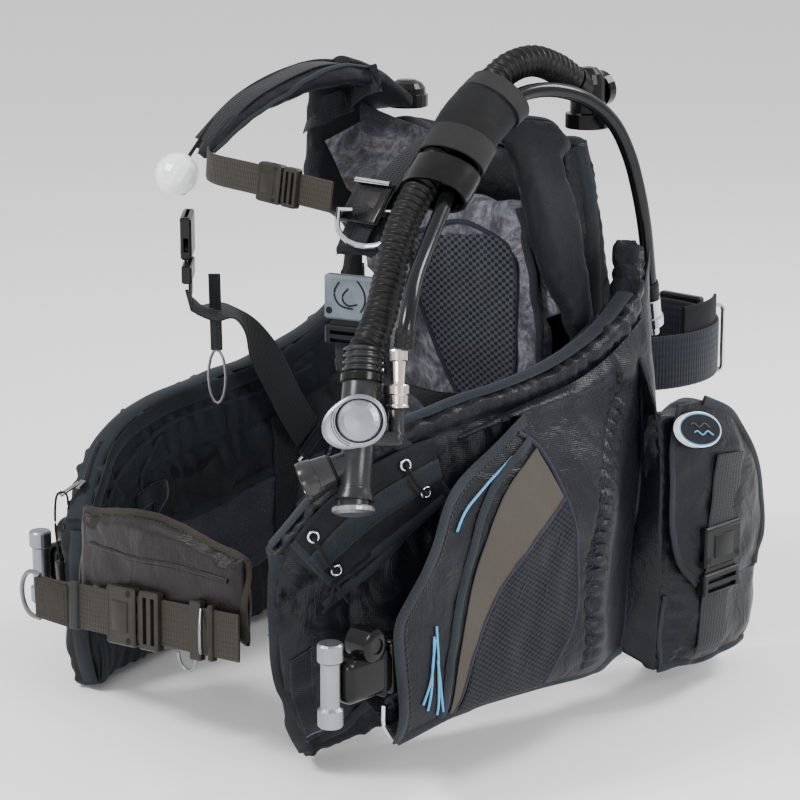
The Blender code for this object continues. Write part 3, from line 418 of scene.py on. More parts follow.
def quads(bm, rows, uv, size, turned=False):
    """Faces between rows of vertices; size is the cloth's real size, along and across the rows."""
    nu, nv = len(rows) - 1, len(rows[0]) - 1
    for i in range(nu):
        for j in range(nv):
            corners = ((i, j), (i + 1, j), (i + 1, j + 1), (i, j + 1))
            if turned:
                corners = (corners[0], corners[3], corners[2], corners[1])
            face = bm.faces.new([rows[a][b] for a, b in corners])
            for loop, (a, b) in zip(face.loops, corners):
                place = (size[0] * a / nu, size[1] * b / nv)
                loop[uv].uv = place[::-1] if turned else place


def tube(bm, rows, ends=True):
    """Faces round a row of rings, each closed on itself."""
    for a, b in zip(rows, rows[1:]):
        for j in range(len(a)):
            k = (j + 1) % len(a)
            bm.faces.new((a[j], a[k], b[k], b[j]))
    if ends:
        bm.faces.new(rows[0])
        bm.faces.new(list(reversed(rows[-1])))


def thicken(obj, thick, offset=0.0):
    mod = obj.modifiers.new("thickness", "SOLIDIFY")
    mod.thickness = thick
    mod.offset = offset


def span(path):
    """Length of a path."""
    return sum((Vector(b) - Vector(a)).length for a, b in zip(path, path[1:]))


def finish_mesh(name, bm, material, body=ROOT, smooth=True, angle=50):
    mesh = bpy.data.meshes.new(name)
    bmesh.ops.recalc_face_normals(bm, faces=bm.faces)
    bm.to_mesh(mesh)
    bm.free()
    if smooth:
        mesh.shade_smooth()
        mesh.set_sharp_from_angle(angle=math.radians(angle))
    mesh.materials.append(MAT[material])
    obj = bpy.data.objects.new(name, mesh)
    SCENE.collection.objects.link(obj)
    if body:
        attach(obj, body)
    return obj


def sweep(name, points, section, material, body=ROOT, hint=UP, by_side=False, closed=False, angle=50):
    """Skin round a path. section(i, n) gives (side, up) offsets; hint is one direction or one a point."""
    bm, uv = new_cloth()
    n = len(points)
    many = isinstance(hint, list)
    rows, along, travelled = [], [], 0.0
    for i, (p, t) in enumerate(zip(points, tangents(points, closed))):
        if i:
            travelled += (Vector(p) - Vector(points[i - 1])).length
        h = Vector(catmull(hint, i / (n - 1)) if many else hint)
        if by_side:
            side = (h - t * h.dot(t)).normalized()
            up = side.cross(t)
        else:
            up = (h - t * h.dot(t)).normalized()
            side = t.cross(up)
        ring = section(i, n)
        rows.append([bm.verts.new(Vector(p) + side * a + up * b) for a, b in ring])
        along.append(travelled)
    around = [0.0]
    ring = section(0, n)
    for a, b in zip(ring, ring[1:] + ring[:1]):
        around.append(around[-1] + math.hypot(b[0] - a[0], b[1] - a[1]))
    m = len(ring)
    count = n if closed else n - 1
    total = travelled + (Vector(points[0]) - Vector(points[-1])).length
    for i in range(count):
        a, b = rows[i], rows[(i + 1) % n]
        va = along[i]
        vb = along[i + 1] if i + 1 < n else total
        for j in range(m):
            k = (j + 1) % m
            face = bm.faces.new((a[j], a[k], b[k], b[j]))
            for loop, (u, v) in zip(face.loops, ((around[j], va), (around[j + 1], va),
                                                 (around[j + 1], vb), (around[j], vb))):
                loop[uv].uv = (u, v)
    if not closed:
        bm.faces.new(rows[0])
        bm.faces.new(list(reversed(rows[-1])))
    return finish_mesh(name, bm, material, body, angle=angle)


def ellipse(a, b, sides=12):
    return [(a * math.cos(2 * math.pi * i / sides), b * math.sin(2 * math.pi * i / sides))
            for i in range(sides)]


def circle(radius, sides=12):
    return ellipse(radius, radius, sides)


def cord(name, points, radius, material, body=ROOT, step=0.004, sides=10):
    path = even(points, step)
    ring = circle(radius, sides)
    hint = UP if abs((path[-1] - path[0]).normalized().z) < 0.9 else Vector((1, 0.2, 0))
    obj = sweep(name, path, lambda i, n: ring, material, body, hint)
    return obj, path


def strap_section(width, thick):
    """Flat tape with soft selvedges and a slightly raised middle."""
    half, edge = width / 2, min(0.0016, width * 0.12)
    t = thick / 2
    return [(-half, -t * 0.4), (-half + edge, -t), (half - edge, -t), (half, -t * 0.4),
            (half, t * 0.4), (half - edge, t), (-half + edge, t), (-half, t * 0.4)]


def strap(name, points, across, width, thick, material, step=0.004):
    path = even(points, step)
    section = strap_section(width, thick)
    return sweep(name, path, lambda i, n: section, material, ROOT, across, by_side=True, angle=80)


REACH = 0.09            # a cover is looked for from this far out
CLOTH_STEP = 0.004      # size of a panel's faces


class Cover:
    """The outside of finished pieces, for laying panels, tapes and stitches on."""

    def __init__(self, *objs):
        verts, polys = [], []
        graph = bpy.context.evaluated_depsgraph_get()
        for obj in objs:
            mesh = obj.evaluated_get(graph).to_mesh()
            first = len(verts)
            verts += [obj.matrix_world @ v.co for v in mesh.vertices]
            polys += [[first + i for i in p.vertices] for p in mesh.polygons]
        self.tree = BVHTree.FromPolygons(verts, polys)

    def drop(self, point, out):
        """Where a point meets the cover from the direction out, and the normal there."""
        out = Vector(out).normalized()
        hit, normal, _, _ = self.tree.ray_cast(Vector(point) + out * REACH, -out, REACH * 2.2)
        if hit is None:
            hit, normal, _, _ = self.tree.find_nearest(Vector(point))
        if normal.dot(out) < 0:
            normal = -normal
        return hit, normal


def blur(field, rounds):
    for _ in range(rounds):
        padded = np.pad(field, 1, mode="edge")
        field = (padded[1:-1, 1:-1] * 2 + padded[:-2, 1:-1] + padded[2:, 1:-1]
                 + padded[1:-1, :-2] + padded[1:-1, 2:]) / 6
    return field


def patch(name, left, right, out, cover, material, lift=0.0008, thick=0.0009, taut=3, swell=0.0,
          wrinkle=0.0):
    """Panel between two edge lines, laid on a cover from the direction out."""
    out = Vector(out).normalized()
    longest = max(span(left), span(right))
    widest = max((Vector(catmull(left, t)) - Vector(catmull(right, t))).length
                 for t in (0.1, 0.3, 0.5, 0.7, 0.9))
    nu, nv = max(4, round(longest / CLOTH_STEP)), max(3, round(widest / CLOTH_STEP))
    flat = np.zeros((nu + 1, nv + 1, 3))
    height = np.zeros((nu + 1, nv + 1))
    for i in range(nu + 1):
        a, b = Vector(catmull(left, i / nu)), Vector(catmull(right, i / nu))
        for j in range(nv + 1):
            p = a.lerp(b, j / nv)
            hit, _ = cover.drop(p, out)
            flat[i, j] = p - out * p.dot(out)
            height[i, j] = hit.dot(out)
    calm = blur(height, taut)
    height = np.maximum(height, calm) if taut else height
    height = blur(height, 1) + lift
    bm, uv = new_cloth()
    rows = []
    for i in range(nu + 1):
        row = []
        for j in range(nv + 1):
            u, v = i / nu, j / nv
            p = Vector(flat[i, j])
            h = height[i, j]
            bulge = 16 * u * (1 - u) * v * (1 - v)
            h += swell * min(1.0, bulge * 1.6)
            if wrinkle:
                h += wrinkle * noise.noise((p + out * h) * 38) * min(1.0, bulge * 3)
            row.append(bm.verts.new(p + out * h))
        rows.append(row)
    quads(bm, rows, uv, (longest, widest), turned=True)
    obj = finish_mesh(name, bm, material)
    normal = obj.data.polygons[0].normal
    thicken(obj, thick, -1.0 if normal.dot(out) < 0 else 1.0)
    return obj


def loft(name, lines, material, across=30, down=14, wrinkle=0.0012):
    """Cloth through several lines, smooth from one to the next."""
    grid = []
    for i in range(across + 1):
        stops = [catmull(line, i / across) for line in lines]
        grid.append([Vector(catmull(stops, j / down)) for j in range(down + 1)])
    bm, uv = new_cloth()
    rows = []
    for i, row in enumerate(grid):
        made = []
        for j, p in enumerate(row):
            du = grid[min(i + 1, across)][j] - grid[max(i - 1, 0)][j]
            dv = row[min(j + 1, down)] - row[max(j - 1, 0)]
            n = du.cross(dv)
            n = n.normalized() if n.length > 1e-9 else Vector((0, 0, 1))
            q = p * 34.0
            height = wrinkle * (noise.noise(q) + 0.5 * noise.noise(q * 2.4))
            made.append(bm.verts.new(p + n * height))
        rows.append(made)
    quads(bm, rows, uv, (0.005 * across, 0.005 * down))
    obj = finish_mesh(name, bm, material)
    thicken(obj, 0.0012)
    return obj


def settle(points, out, cover, lift, calm=3):
    """Path laid on a cover; out is one direction or a few along the path."""
    placed = []
    for i, p in enumerate(points):
        way = Vector(catmull(out, i / (len(points) - 1)) if isinstance(out, list) else out).normalized()
        placed.append(cover.drop(p, way)[0] + way * lift)
    for _ in range(calm):
        between = [(a + b * 2 + c) / 4 for a, b, c in zip(placed, placed[1:], placed[2:])]
        placed = [placed[0]] + between + [placed[-1]]
    return placed


def binding(name, points, out, cover, width=0.009, thick=0.0016, material="binding", lift=0.0004, calm=3):
    """Folded edge tape: an oval section laid on a cover, or left free where there is none."""
    path = even(points, 0.004)
    if cover:
        path = settle(path, out, cover, lift, calm)
    section = ellipse(width / 2, thick, 10)
    hint = out if isinstance(out, list) else Vector(out)
    return sweep(name, path, lambda i, n: section, material, ROOT, hint)


def stitches(name, points, out, cover):
    """A row of thread stitches as one mesh."""
    length, gap, radius, lift = 0.0026, 0.0018, 0.00042, 0.0006
    path = even(points, length + gap)
    bm = bmesh.new()
    for a, b in zip(path, path[1:]):
        way = (b - a).normalized()
        first, last = a, a + way * length
        if cover:
            first, last = cover.drop(first, out)[0], cover.drop(last, out)[0]
        along = last - first
        if along.length > length * 2.5 or along.length < 1e-5:
            continue
        matrix = along.to_track_quat("X", "Z").to_matrix().to_4x4()
        matrix.translation = (first + last) / 2 + Vector(out).normalized() * lift
        made = bmesh.ops.create_icosphere(bm, subdivisions=1, radius=1.0)
        bmesh.ops.transform(bm, verts=made["verts"],
                            matrix=matrix @ Matrix.Diagonal((along.length / 2, radius, radius, 1)))
    return finish_mesh(name, bm, "thread")


# ------------------------------------------------------------------ soft pieces
PRESSURE, SHRINK, SWELL_FRAMES = 4.0, -0.03, 20
GROOVE = 0.0022         # depth of a seam


def cloth_swell(obj, pinned, cap):
    """Inflates a closed piece for a few frames and keeps the result, no point further than cap."""
    mesh = obj.data
    rest = coordinates(mesh, np.float32)
    if pinned.any():
        group = obj.vertex_groups.new(name="pinned")
        group.add([int(i) for i in np.nonzero(pinned)[0]], 1.0, "REPLACE")
    mod = obj.modifiers.new("cloth", "CLOTH")
    s = mod.settings
    s.quality = 4
    s.mass = 0.3
    s.tension_stiffness = s.compression_stiffness = 12
    s.bending_stiffness = 0.6
    s.use_pressure = True
    s.uniform_pressure_force = PRESSURE
    s.shrink_min = SHRINK
    s.effector_weights.gravity = 0.0
    mod.collision_settings.use_collision = False
    if pinned.any():
        s.vertex_group_mass = "pinned"
    for frame_number in range(1, SWELL_FRAMES + 1):
        SCENE.frame_set(frame_number)
    graph = bpy.context.evaluated_depsgraph_get()
    now = coordinates(obj.evaluated_get(graph).to_mesh(), np.float32)
    obj.modifiers.remove(mod)
    SCENE.frame_set(1)
    step = now - rest
    length = np.linalg.norm(step, axis=1, keepdims=True)
    length[~np.isfinite(length)] = 0
    step = np.where(np.isfinite(step), step, 0)
    scale = np.minimum(1.0, cap / np.maximum(length, 1e-9))
    mesh.vertices.foreach_set("co", (rest + step * scale).astype(np.float32).ravel())
    mesh.update()


def coordinates(mesh, kind=float):
    co = np.empty(len(mesh.vertices) * 3, np.float32)
    mesh.vertices.foreach_get("co", co)
    return co.reshape(-1, 3).astype(kind)


def normals(mesh):
    no = np.empty(len(mesh.vertices) * 3, np.float32)
    mesh.vertex_normals.foreach_get("vector", no)
    return no.reshape(-1, 3).astype(float)


def away_from(co, line):
    """Distance from each vertex to a polyline, and how far along it the nearest point is."""
    best = np.full(len(co), 9.0)
    where = np.zeros(len(co))
    travelled = 0.0
    for a, b in zip(line, line[1:]):
        a, b = np.array(a), np.array(b)
        d = b - a
        size = float(np.linalg.norm(d)) or 1e-9
        t = np.clip(((co - a) @ d) / size ** 2, 0, 1)
        far = np.linalg.norm(co - (a + t[:, None] * d), axis=1)
        closer = far < best
        best = np.where(closer, far, best)
        where = np.where(closer, travelled + t * size, where)
        travelled += size
    return best, where


def bake(obj):
    graph = bpy.context.evaluated_depsgraph_get()
    mesh = bpy.data.meshes.new_from_object(obj.evaluated_get(graph))
    obj.modifiers.clear()
    old = obj.data
    obj.data = mesh
    bpy.data.meshes.remove(old)


def soft(node, material, voxel=0.006, inset=0.003, cap=0.008, seams=(), pucker=0.0016, wave=0.013,
         folds=0.0012, fold_scale=17.0, reach=0.024, reshape=None):
    """Padded piece in place of a CAD solid: inflated cloth, pinned and puckered along its seams."""
    mesh = NODES[node].data.copy()
    mesh.materials.clear()
    obj = bpy.data.objects.new(node + "_cloth", mesh)
    SCENE.collection.objects.link(obj)
    remesh = obj.modifiers.new("remesh", "REMESH")
    remesh.mode = "VOXEL"
    remesh.voxel_size = voxel
    bake(obj)
    mesh = obj.data
    co, no = coordinates(mesh), normals(mesh)
    co = co - no * inset
    if reshape:
        co = reshape(co)
    mesh.vertices.foreach_set("co", co.astype(np.float32).ravel())
    mesh.update()
    lines = [[tuple(p) for p in line] for line in seams]
    co = coordinates(mesh)
    pinned = np.zeros(len(co), bool)
    for line in lines:
        pinned |= away_from(co, line)[0] < voxel * 1.3
    cloth_swell(obj, pinned, cap)
    smooth = obj.modifiers.new("smooth", "SMOOTH")
    smooth.factor = 0.5
    smooth.iterations = 2
    more = obj.modifiers.new("finer", "SUBSURF")
    more.levels = more.render_levels = 1
    bake(obj)
    mesh = obj.data
    co, no = coordinates(mesh), normals(mesh)
    shift = np.zeros(len(co))
    for k, line in enumerate(lines):
        far, along = away_from(co, line)
        ripple = np.sin(2 * np.pi * along / wave + 2.2 * np.sin(along * 31 + k) + 1.3 * np.sin(along * 83))
        near = np.exp(-(far / reach) ** 1.4) * (1 - np.exp(-(far / 0.005) ** 2))
        shift += pucker * ripple * near - GROOVE * np.exp(-(far / 0.0035) ** 2)
    for i, (p, n) in enumerate(zip(co, no)):
        q = Vector(p) * fold_scale
        shift[i] += folds * (noise.noise(q + Vector((0, 0, 3.1))) + 0.5 * noise.noise(q * 2.3))
    mesh.vertices.foreach_set("co", (co + no * shift[:, None]).astype(np.float32).ravel())
    mesh.update()
    mesh.materials.append(MAT[material])
    mesh.shade_smooth()
    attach(obj, ROOT)
    return stand_for(obj, node)


# ------------------------------------------------------------------ routes and surfaces of the drawing
LEFT_LOBE = [
    (0.157, 0.116, 0.392, 0.030), (0.184, 0.078, 0.350, 0.030), (0.193, 0.018, 0.322, 0.040),
    (0.193, -0.060, 0.304, 0.046), (0.186, -0.140, 0.296, 0.040), (0.163, -0.215, 0.270, 0.024),
    (0.124, -0.276, 0.192, 0.008)]
RIGHT_LOBE = [
    (-0.157, 0.116, 0.330, 0.030), (-0.182, 0.078, 0.278, 0.018), (-0.190, 0.018, 0.250, 0.008),
    (-0.189, -0.060, 0.240, 0.000), (-0.183, -0.140, 0.231, 0.000), (-0.170, -0.200, 0.204, 0.000),
    (-0.146, -0.246, 0.150, 0.000)]
LEAN = {1: 0.19, -1: 0.02}
LOBES = {1: LEFT_LOBE, -1: RIGHT_LOBE}
HALF_LOBE = 0.017
HOSE_ROUTE = [
    (0.115, 0.088, 0.520), (0.115, 0.066, 0.532), (0.115, 0.038, 0.540), (0.115, 0.010, 0.537),
    (0.115, -0.014, 0.525), (0.118, -0.042, 0.510), (0.121, -0.064, 0.495), (0.128, -0.098, 0.466),
    (0.137, -0.133, 0.437), (0.145, -0.155, 0.415), (0.153, -0.171, 0.392), (0.163, -0.190, 0.370),
    (0.173, -0.211, 0.354)]
LP_ROUTE = [
    (0.2040, -0.2070, 0.3520), (0.2028, -0.2034, 0.3660), (0.1970, -0.1930, 0.3820),
    (0.1860, -0.1760, 0.3980), (0.1740, -0.1520, 0.4150), (0.1610, -0.1220, 0.4380),
    (0.1490, -0.0920, 0.4610), (0.1408, -0.0620, 0.4855), (0.1368, -0.0390, 0.4995),
    (0.1327, -0.0120, 0.5122), (0.1335, 0.0140, 0.5185), (0.1380, 0.0450, 0.5170),
    (0.1430, 0.0770, 0.5060), (0.1470, 0.1050, 0.4850), (0.1490, 0.1240, 0.4560),
    (0.1495, 0.1370, 0.4240), (0.1490, 0.1470, 0.3920), (0.1460, 0.1570, 0.3580),
    (0.1410, 0.1680, 0.3280)]
HOSE_ROUTE = [at(*p) for p in HOSE_ROUTE]
LP_ROUTE = [at(*p) for p in LP_ROUTE]
HOSE_RADIUS = 0.0132
LP_RADIUS = 0.0062


def lobe_middle(side, u, v):
    x, y, top, bottom = catmull(LOBES[side], u)
    drawn = 1 - LEAN[side] * (1 - v) ** 3 * min(1.0, 1.5 * u)
    return at(x * drawn, y * drawn if y < 0 else y, bottom + (top - bottom) * v)


def lobe(side, u, v, off=0.0):
    """Point on a lobe; off is outward from its middle."""
    e = 0.01
    here = lobe_middle(side, u, v)
    if not off:
        return here
    du = lobe_middle(side, min(u + e, 1), v) - lobe_middle(side, max(u - e, 0), v)
    dv = lobe_middle(side, u, min(v + e, 1)) - lobe_middle(side, u, max(v - e, 0))
    n = du.cross(dv).normalized()
    if n.x * side < 0:
        n = -n
    return here + n * off


def facing(side, u, v=0.5):
    return (lobe(side, u, v, 0.01) - lobe(side, u, v)).normalized()


def spot(node, side, fy, fz):
    """Place on the outer side of a pocket, as shares of its box along Y and Z."""
    low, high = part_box(node)
    return Vector((high.x if side > 0 else low.x, low.y + (high.y - low.y) * fy, low.z + (high.z - low.z) * fz))


def stand_for(obj, *nodes):
    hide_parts(*nodes)
    return obj


# ------------------------------------------------------------------ hoses and cords
def hoses():
    inflator_top = at(0.1755, -0.2200, 0.3505)
    path = even(HOSE_ROUTE + [inflator_top + Vector((0.0008, -0.0010, -0.0026))], 0.0011)
    pitch = 0.0064

    def ribbed(i, n):
        s = i * 0.0011
        shape = max(0.0, math.sin(2 * math.pi * s / pitch)) ** 0.6
        return circle(HOSE_RADIUS - 0.0026 + 0.0026 * shape, 22)

    skin = sweep("corrugated_hose_skin", path, ribbed, "rubber", ROOT, Vector((1, 0.1, 0)), angle=80)
    stand_for(skin, "corrugated_hose")
    path = even(LP_ROUTE, 0.0060)
    ring = circle(LP_RADIUS, 20)
    skin = sweep("lp_hose_skin", path, lambda i, n: ring, "hose_gloss", ROOT, Vector((1, 0.1, 0)))
    stand_for(skin, "lp_hose")
    for name, t in (("lp_ferrule_front", 0.012), ("lp_ferrule_rear", 0.985)):
        start = path[0] if t < 0.5 else path[-1]
        inward = (path[1] - path[0]).normalized() if t < 0.5 else (path[-2] - path[-1]).normalized()
        line = [start + inward * (0.0004 + 0.0012 * i) for i in range(13)]

        def taper(i, n):
            return circle(LP_RADIUS + 0.0018 - 0.0009 * max(0, (i - 9) / 4) - 0.0005 * (i in (3, 6)), 18)

        sweep(name, line, taper, "rubber", ROOT, Vector((1, 0.1, 0)))


def hose_wraps():
    """Neoprene sleeve and glossy clip round both hoses."""
    def middle(t):
        main = Vector(catmull(HOSE_ROUTE, t))
        along = (Vector(catmull(HOSE_ROUTE, t + 0.01)) - main).normalized()
        near = min((Vector(catmull(LP_ROUTE, i / 200)) for i in range(201)), key=lambda p: (p - main).length)
        across = near - main
        across = (across - along * across.dot(along)).normalized()
        return main, along, across

    def wrap(name, span, wide, tall, wall, material, rings, ridge=0.0):
        bm, uv = new_cloth()
        rows = []
        steps = [(span[0] + 0.012, -wall), (span[0], -wall)]
        steps += [(span[0] + (span[1] - span[0]) * i / rings, ridge * math.sin(math.pi * i / rings))
                  for i in range(rings + 1)]
        steps += [(span[1], -wall), (span[1] - 0.012, -wall)]
        for t, grow in steps:
            main, along, across = middle(t)
            up = along.cross(across)
            centre = main + across * (wide - HOSE_RADIUS - 0.0026)
            row = []
            for j in range(36):
                angle = 2 * math.pi * j / 36
                ripple = 0.0005 * noise.noise(Vector((j * 0.9, t * 90, 0))) if grow > -wall else 0
                a, b = wide + grow + ripple, tall + grow + ripple
                row.append(bm.verts.new(centre + across * a * math.cos(angle) + up * b * math.sin(angle)))
            rows.append(row)
        for r, (a, b) in enumerate(zip(rows, rows[1:])):
            for j in range(36):
                k = (j + 1) % 36
                face = bm.faces.new((a[j], a[k], b[k], b[j]))
                for loop, (u, v) in zip(face.loops, ((j, r), (j + 1, r), (j + 1, r + 1), (j, r + 1))):
                    loop[uv].uv = (u * 0.003, v * 0.004)
        return finish_mesh(name, bm, material)

    sleeve = wrap("hose_sleeve_cloth", (0.345, 0.56), 0.0268, 0.0186, 0.0022, "neoprene", 22, 0.0006)
    stand_for(sleeve, "hose_sleeve")
    wrap("sleeve_band_top", (0.343, 0.388), 0.0282, 0.0200, 0.0014, "neoprene_band", 4)
    wrap("sleeve_band_bottom", (0.517, 0.562), 0.0282, 0.0200, 0.0014, "neoprene_band", 4)
    clip = wrap("hose_clip_shell", (0.575, 0.625), 0.0284, 0.0198, 0.0024, "gloss_plastic", 6, 0.0006)
    stand_for(clip, "hose_clip")


# ------------------------------------------------------------------ padded pieces
COVER = {}


def lobe_line(side, u0, u1, v0, v1, off, bow=0.0):
    line = []
    for i in range(14):
        t = i / 13
        line.append(lobe(side, u0 + (u1 - u0) * t, v0 + (v1 - v0) * t + bow * math.sin(math.pi * t), off))
    return line


def soft_pieces():
    inner, outer = -HALF_LOBE + 0.004, HALF_LOBE - 0.004

    def right_wing(co):
        """The armhole cuts the wing back below the chest strap."""
        t = np.clip((0.408 - co[:, 2]) / 0.050, 0, 1) * (co[:, 0] < -0.122) * (co[:, 1] > -0.060)
        t = t * t * (3 - 2 * t)
        co[:, 1] += (0.043 - co[:, 1]) * 0.88 * t
        return co

    def rounded(co):
        """The top rear corner of a corner pouch is cut round."""
        low, high = co[:, 2].min(), co[:, 2].max()
        back = np.clip((co[:, 1] - co[:, 1].min() - 0.050) / 0.100, 0, 1.2)
        top = high - 0.075 * back ** 1.7
        co[:, 2] = low + (co[:, 2] - low) * (top - low) / (high - low)
        return co

    seams = [lobe_line(1, 0.02, 0.98, 0.93, 0.93, outer), lobe_line(1, 0.02, 0.98, 0.93, 0.93, inner),
             lobe_line(1, 0.02, 0.98, 0.08, 0.08, outer), lobe_line(1, 0.30, 0.28, 0.05, 0.95, outer),
             lobe_line(1, 0.86, 0.86, 0.06, 0.60, outer), lobe_line(1, 0.55, 0.98, 0.60, 0.74, outer)]
    COVER["left"] = soft("jacket_left", "nylon", seams=seams, pucker=0.0013, wave=0.017, folds=0.0026)
    seams = [lobe_line(-1, 0.08, 0.97, 0.74, 0.66, inner, 0.06), lobe_line(-1, 0.04, 0.97, 0.93, 0.93, inner),
             lobe_line(-1, 0.02, 0.98, 0.93, 0.93, outer), lobe_line(-1, 0.02, 0.98, 0.08, 0.08, outer),
             lobe_line(-1, 0.60, 0.62, 0.10, 0.62, inner), lobe_line(-1, 0.30, 0.60, 0.34, 0.40, inner)]
    COVER["right"] = soft("jacket_right", "lining", seams=seams, pucker=0.0018,
                          wave=0.021, folds=0.0024, reach=0.034)
    low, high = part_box("jacket_back")
    rear = [[(s * 0.105, high.y - 0.012, low.z + 0.02), (s * 0.108, high.y - 0.006, 0.25),
             (s * 0.09, high.y - 0.03, high.z - 0.03)] for s in (-1, 1)]
    rear = [even([Vector(p) for p in line], 0.02) for line in rear]
    COVER["back"] = soft("jacket_back", "nylon", voxel=0.008, seams=rear, folds=0.002)
    low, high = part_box("back_pad")
    middle = (low + high) / 2
    quilting = [even([Vector((middle.x + a * 0.09, low.y + 0.004, z)), Vector((middle.x, low.y, z + 0.012)),
                      Vector((middle.x + b * 0.09, low.y + 0.004, z))], 0.02)
                for z, a, b in ((low.z + 0.05, -1, 1), (high.z - 0.07, -1, 1))]
    COVER["pad"] = soft("back_pad", "mottled", inset=0.002, cap=0.006, seams=quilting,
                        pucker=0.0014, folds=0.0022, fold_scale=26, wave=0.016)
    COVER["shoulder_left"] = soft("shoulder_left", "nylon_soft", voxel=0.005,
                                  inset=0.0015, cap=0.005, folds=0.0010)
    COVER["shoulder_right"] = soft("shoulder_right", "nylon_soft", voxel=0.005,
                                   inset=0.0015, cap=0.005, folds=0.0010, reshape=right_wing)
    COVER["cummerbund"] = soft("cummerbund", "satin", voxel=0.004, inset=0.001, cap=0.006,
                               folds=0.0016, fold_scale=24)
    for side, name in ((1, "left"), (-1, "right")):
        node = "trim_pocket_" + name
        low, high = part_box(node)
        outer_x = high.x if side > 0 else low.x
        ring = [Vector((outer_x - side * 0.004, low.y + (high.y - low.y) * fy, low.z + (high.z - low.z) * fz))
                for fy, fz in ((0.10, 0.05), (0.10, 0.5), (0.10, 0.97))]
        COVER[node] = soft(node, "nylon", inset=0.004, cap=0.009,
                           seams=[even(ring, 0.02)], folds=0.0026, reshape=rounded)


PANEL = {1: (-0.196, 0.242, 0.035, 0.285), -1: (-0.111, 0.205, 0.010, 0.195)}


def panel(side, fy, fz, off=0.0):
    """Point on a weight pocket's outer panel, as shares of its length and height."""
    front, length, bottom, top = PANEL[side]
    base = [(0.2105,), (0.2125,), (0.2130,), (0.2130,), (0.2110,)]
    fullness = [(1.0,), (1.0,), (1.0,), (1.0,), (0.12,)]
    bulge = [(0.012,), (0.031,), (0.0325,), (0.0325,), (0.0325,), (0.020,), (0.003,)]
    u = min(max(fy, 0.0), 1.0)
    x = catmull(base, u)[0] + catmull(bulge, fz)[0] * catmull(fullness, u)[0]
    x -= 0.10 * max(0.0, -fy) ** 2
    x -= 0.06 * max(0.0, fy - 1.0)
    return at(side * (x + off), front + length * fy, bottom + (top - bottom - 0.012 * u) * fz)


def panel_line(side, stops, off=0.0):
    return [panel(side, *catmull(stops, i / 23), off) for i in range(24)]


EDGE = {1: [(-0.19, 0.085), (-0.2136, 0.309), (-0.225, 0.46), (-0.194, 0.519), (-0.11, 0.629), (0.048, 0.819),
            (0.313, 0.93), (0.458, 0.99)],
        -1: [(0.0, 0.02), (0.0, 0.30), (0.0, 0.6), (0.0, 0.85), (0.10, 0.97), (0.30, 1.0)]}
REAR = {1: [(0.99, 0.075), (1.01, 0.2), (1.04, 0.4), (1.10, 0.6), (1.14, 0.8), (1.15, 1.0)],
        -1: [(1.0, 0.02), (1.0, 0.25), (1.0, 0.5), (1.0, 0.75), (1.0, 0.9), (1.0, 1.0)]}
HEM = {1: [(-0.19, 0.085), (0.012, 0.131), (0.218, 0.117), (0.553, 0.091), (0.99, 0.075)],
       -1: [(0.0, 0.02), (0.25, 0.0), (0.5, 0.0), (0.75, 0.0), (1.0, 0.02)]}
GATHER = {1: [(0.632, 0.12), (0.634, 0.193), (0.645, 0.487), (0.734, 0.75), (0.858, 0.894), (0.95, 1.0)],
          -1: [(0.70, 0.05), (0.70, 0.3), (0.72, 0.6), (0.76, 0.9)]}


def pocket_panels():
    """Outer panels of the weight pockets: one curved cloth skin each."""
    for side, name in ((1, "left"), (-1, "right")):
        node = "weight_pocket_" + name
        _, length, bottom, top = PANEL[side]
        bm, uv = new_cloth()
        nu, nv = 110, 90
        more = 26 if side > 0 else 0
        seam = [panel(side, *catmull(GATHER[side], i / 30)) for i in range(31)]
        spots = []
        rim = [lobe(1, u, v, HALF_LOBE - 0.001) for u, v in ((0.67, 0.90), (0.55, 0.93), (0.42, 0.93),
                                                             (0.30, 0.94), (0.17, 0.94))]
        for i in range(nu + 1):
            for j in range(nv + 1 + more):
                s, t = i / nu, min(1.0, j / nv)
                a, b = catmull(EDGE[side], t), catmull(REAR[side], t)
                low = catmull(HEM[side], s)
                fy = a[0] + (b[0] - a[0]) * s
                fz = a[1] + (b[1] - a[1]) * s
                straight = EDGE[side][0][1] + (REAR[side][0][1] - EDGE[side][0][1]) * s
                fz += (low[1] - straight) * (1 - t) ** 2
                spots.append(panel(side, fy, fz))
                if j > nv:
                    start, end = spots[-1], Vector(catmull(rim, s))
                    middle = start.lerp(end, 0.45) + Vector((0.004, 0, 0.006))
                    below = panel(side, fy, fz - 0.12)
                    t = (j - nv) / more
                    spots[-1] = Vector(catmull([below, start, middle, end], (1 + 2 * t) / 3))
        nv += more
        co = np.array([tuple(p) for p in spots])
        far, along = away_from(co, [tuple(p) for p in seam])
        signed = np.sign(co[:, 1] - np.interp(co[:, 2], [p.z for p in seam], [p.y for p in seam])) * far
        ripple = np.sin(2 * np.pi * along / 0.0125 + 2.0 * np.sin(along * 55))
        rows = []
        for i in range(nu + 1):
            row = []
            for j in range(nv + 1):
                k = i * (nv + 1) + j
                p = spots[k]
                q = Vector((p.y * 16, p.z * 11, side * 3.0))
                fold = 0.0030 * noise.noise(q) + 0.0016 * noise.noise(q * 2.6) + 0.0007 * noise.noise(q * 6)
                fold += 0.0024 * ripple[k] * math.exp(-((signed[k] - 0.007) / 0.0095) ** 2)
                fold -= 0.0030 * math.exp(-(far[k] / 0.0026) ** 2)
                fold += 0.0040 * math.exp(-((signed[k] - 0.020) / 0.014) ** 2)
                calm = min(1.0, 7 * min(i / nu, 1 - i / nu, j / nv, 1 - j / nv))
                row.append(bm.verts.new(p + Vector((side * fold * calm, 0, 0))))
            rows.append(row)
        quads(bm, rows, uv, (length, top - bottom))
        cloth = stand_for(finish_mesh(node + "_cloth", bm, "nylon"), node)
        thicken(cloth, 0.0036)
        COVER[node] = cloth


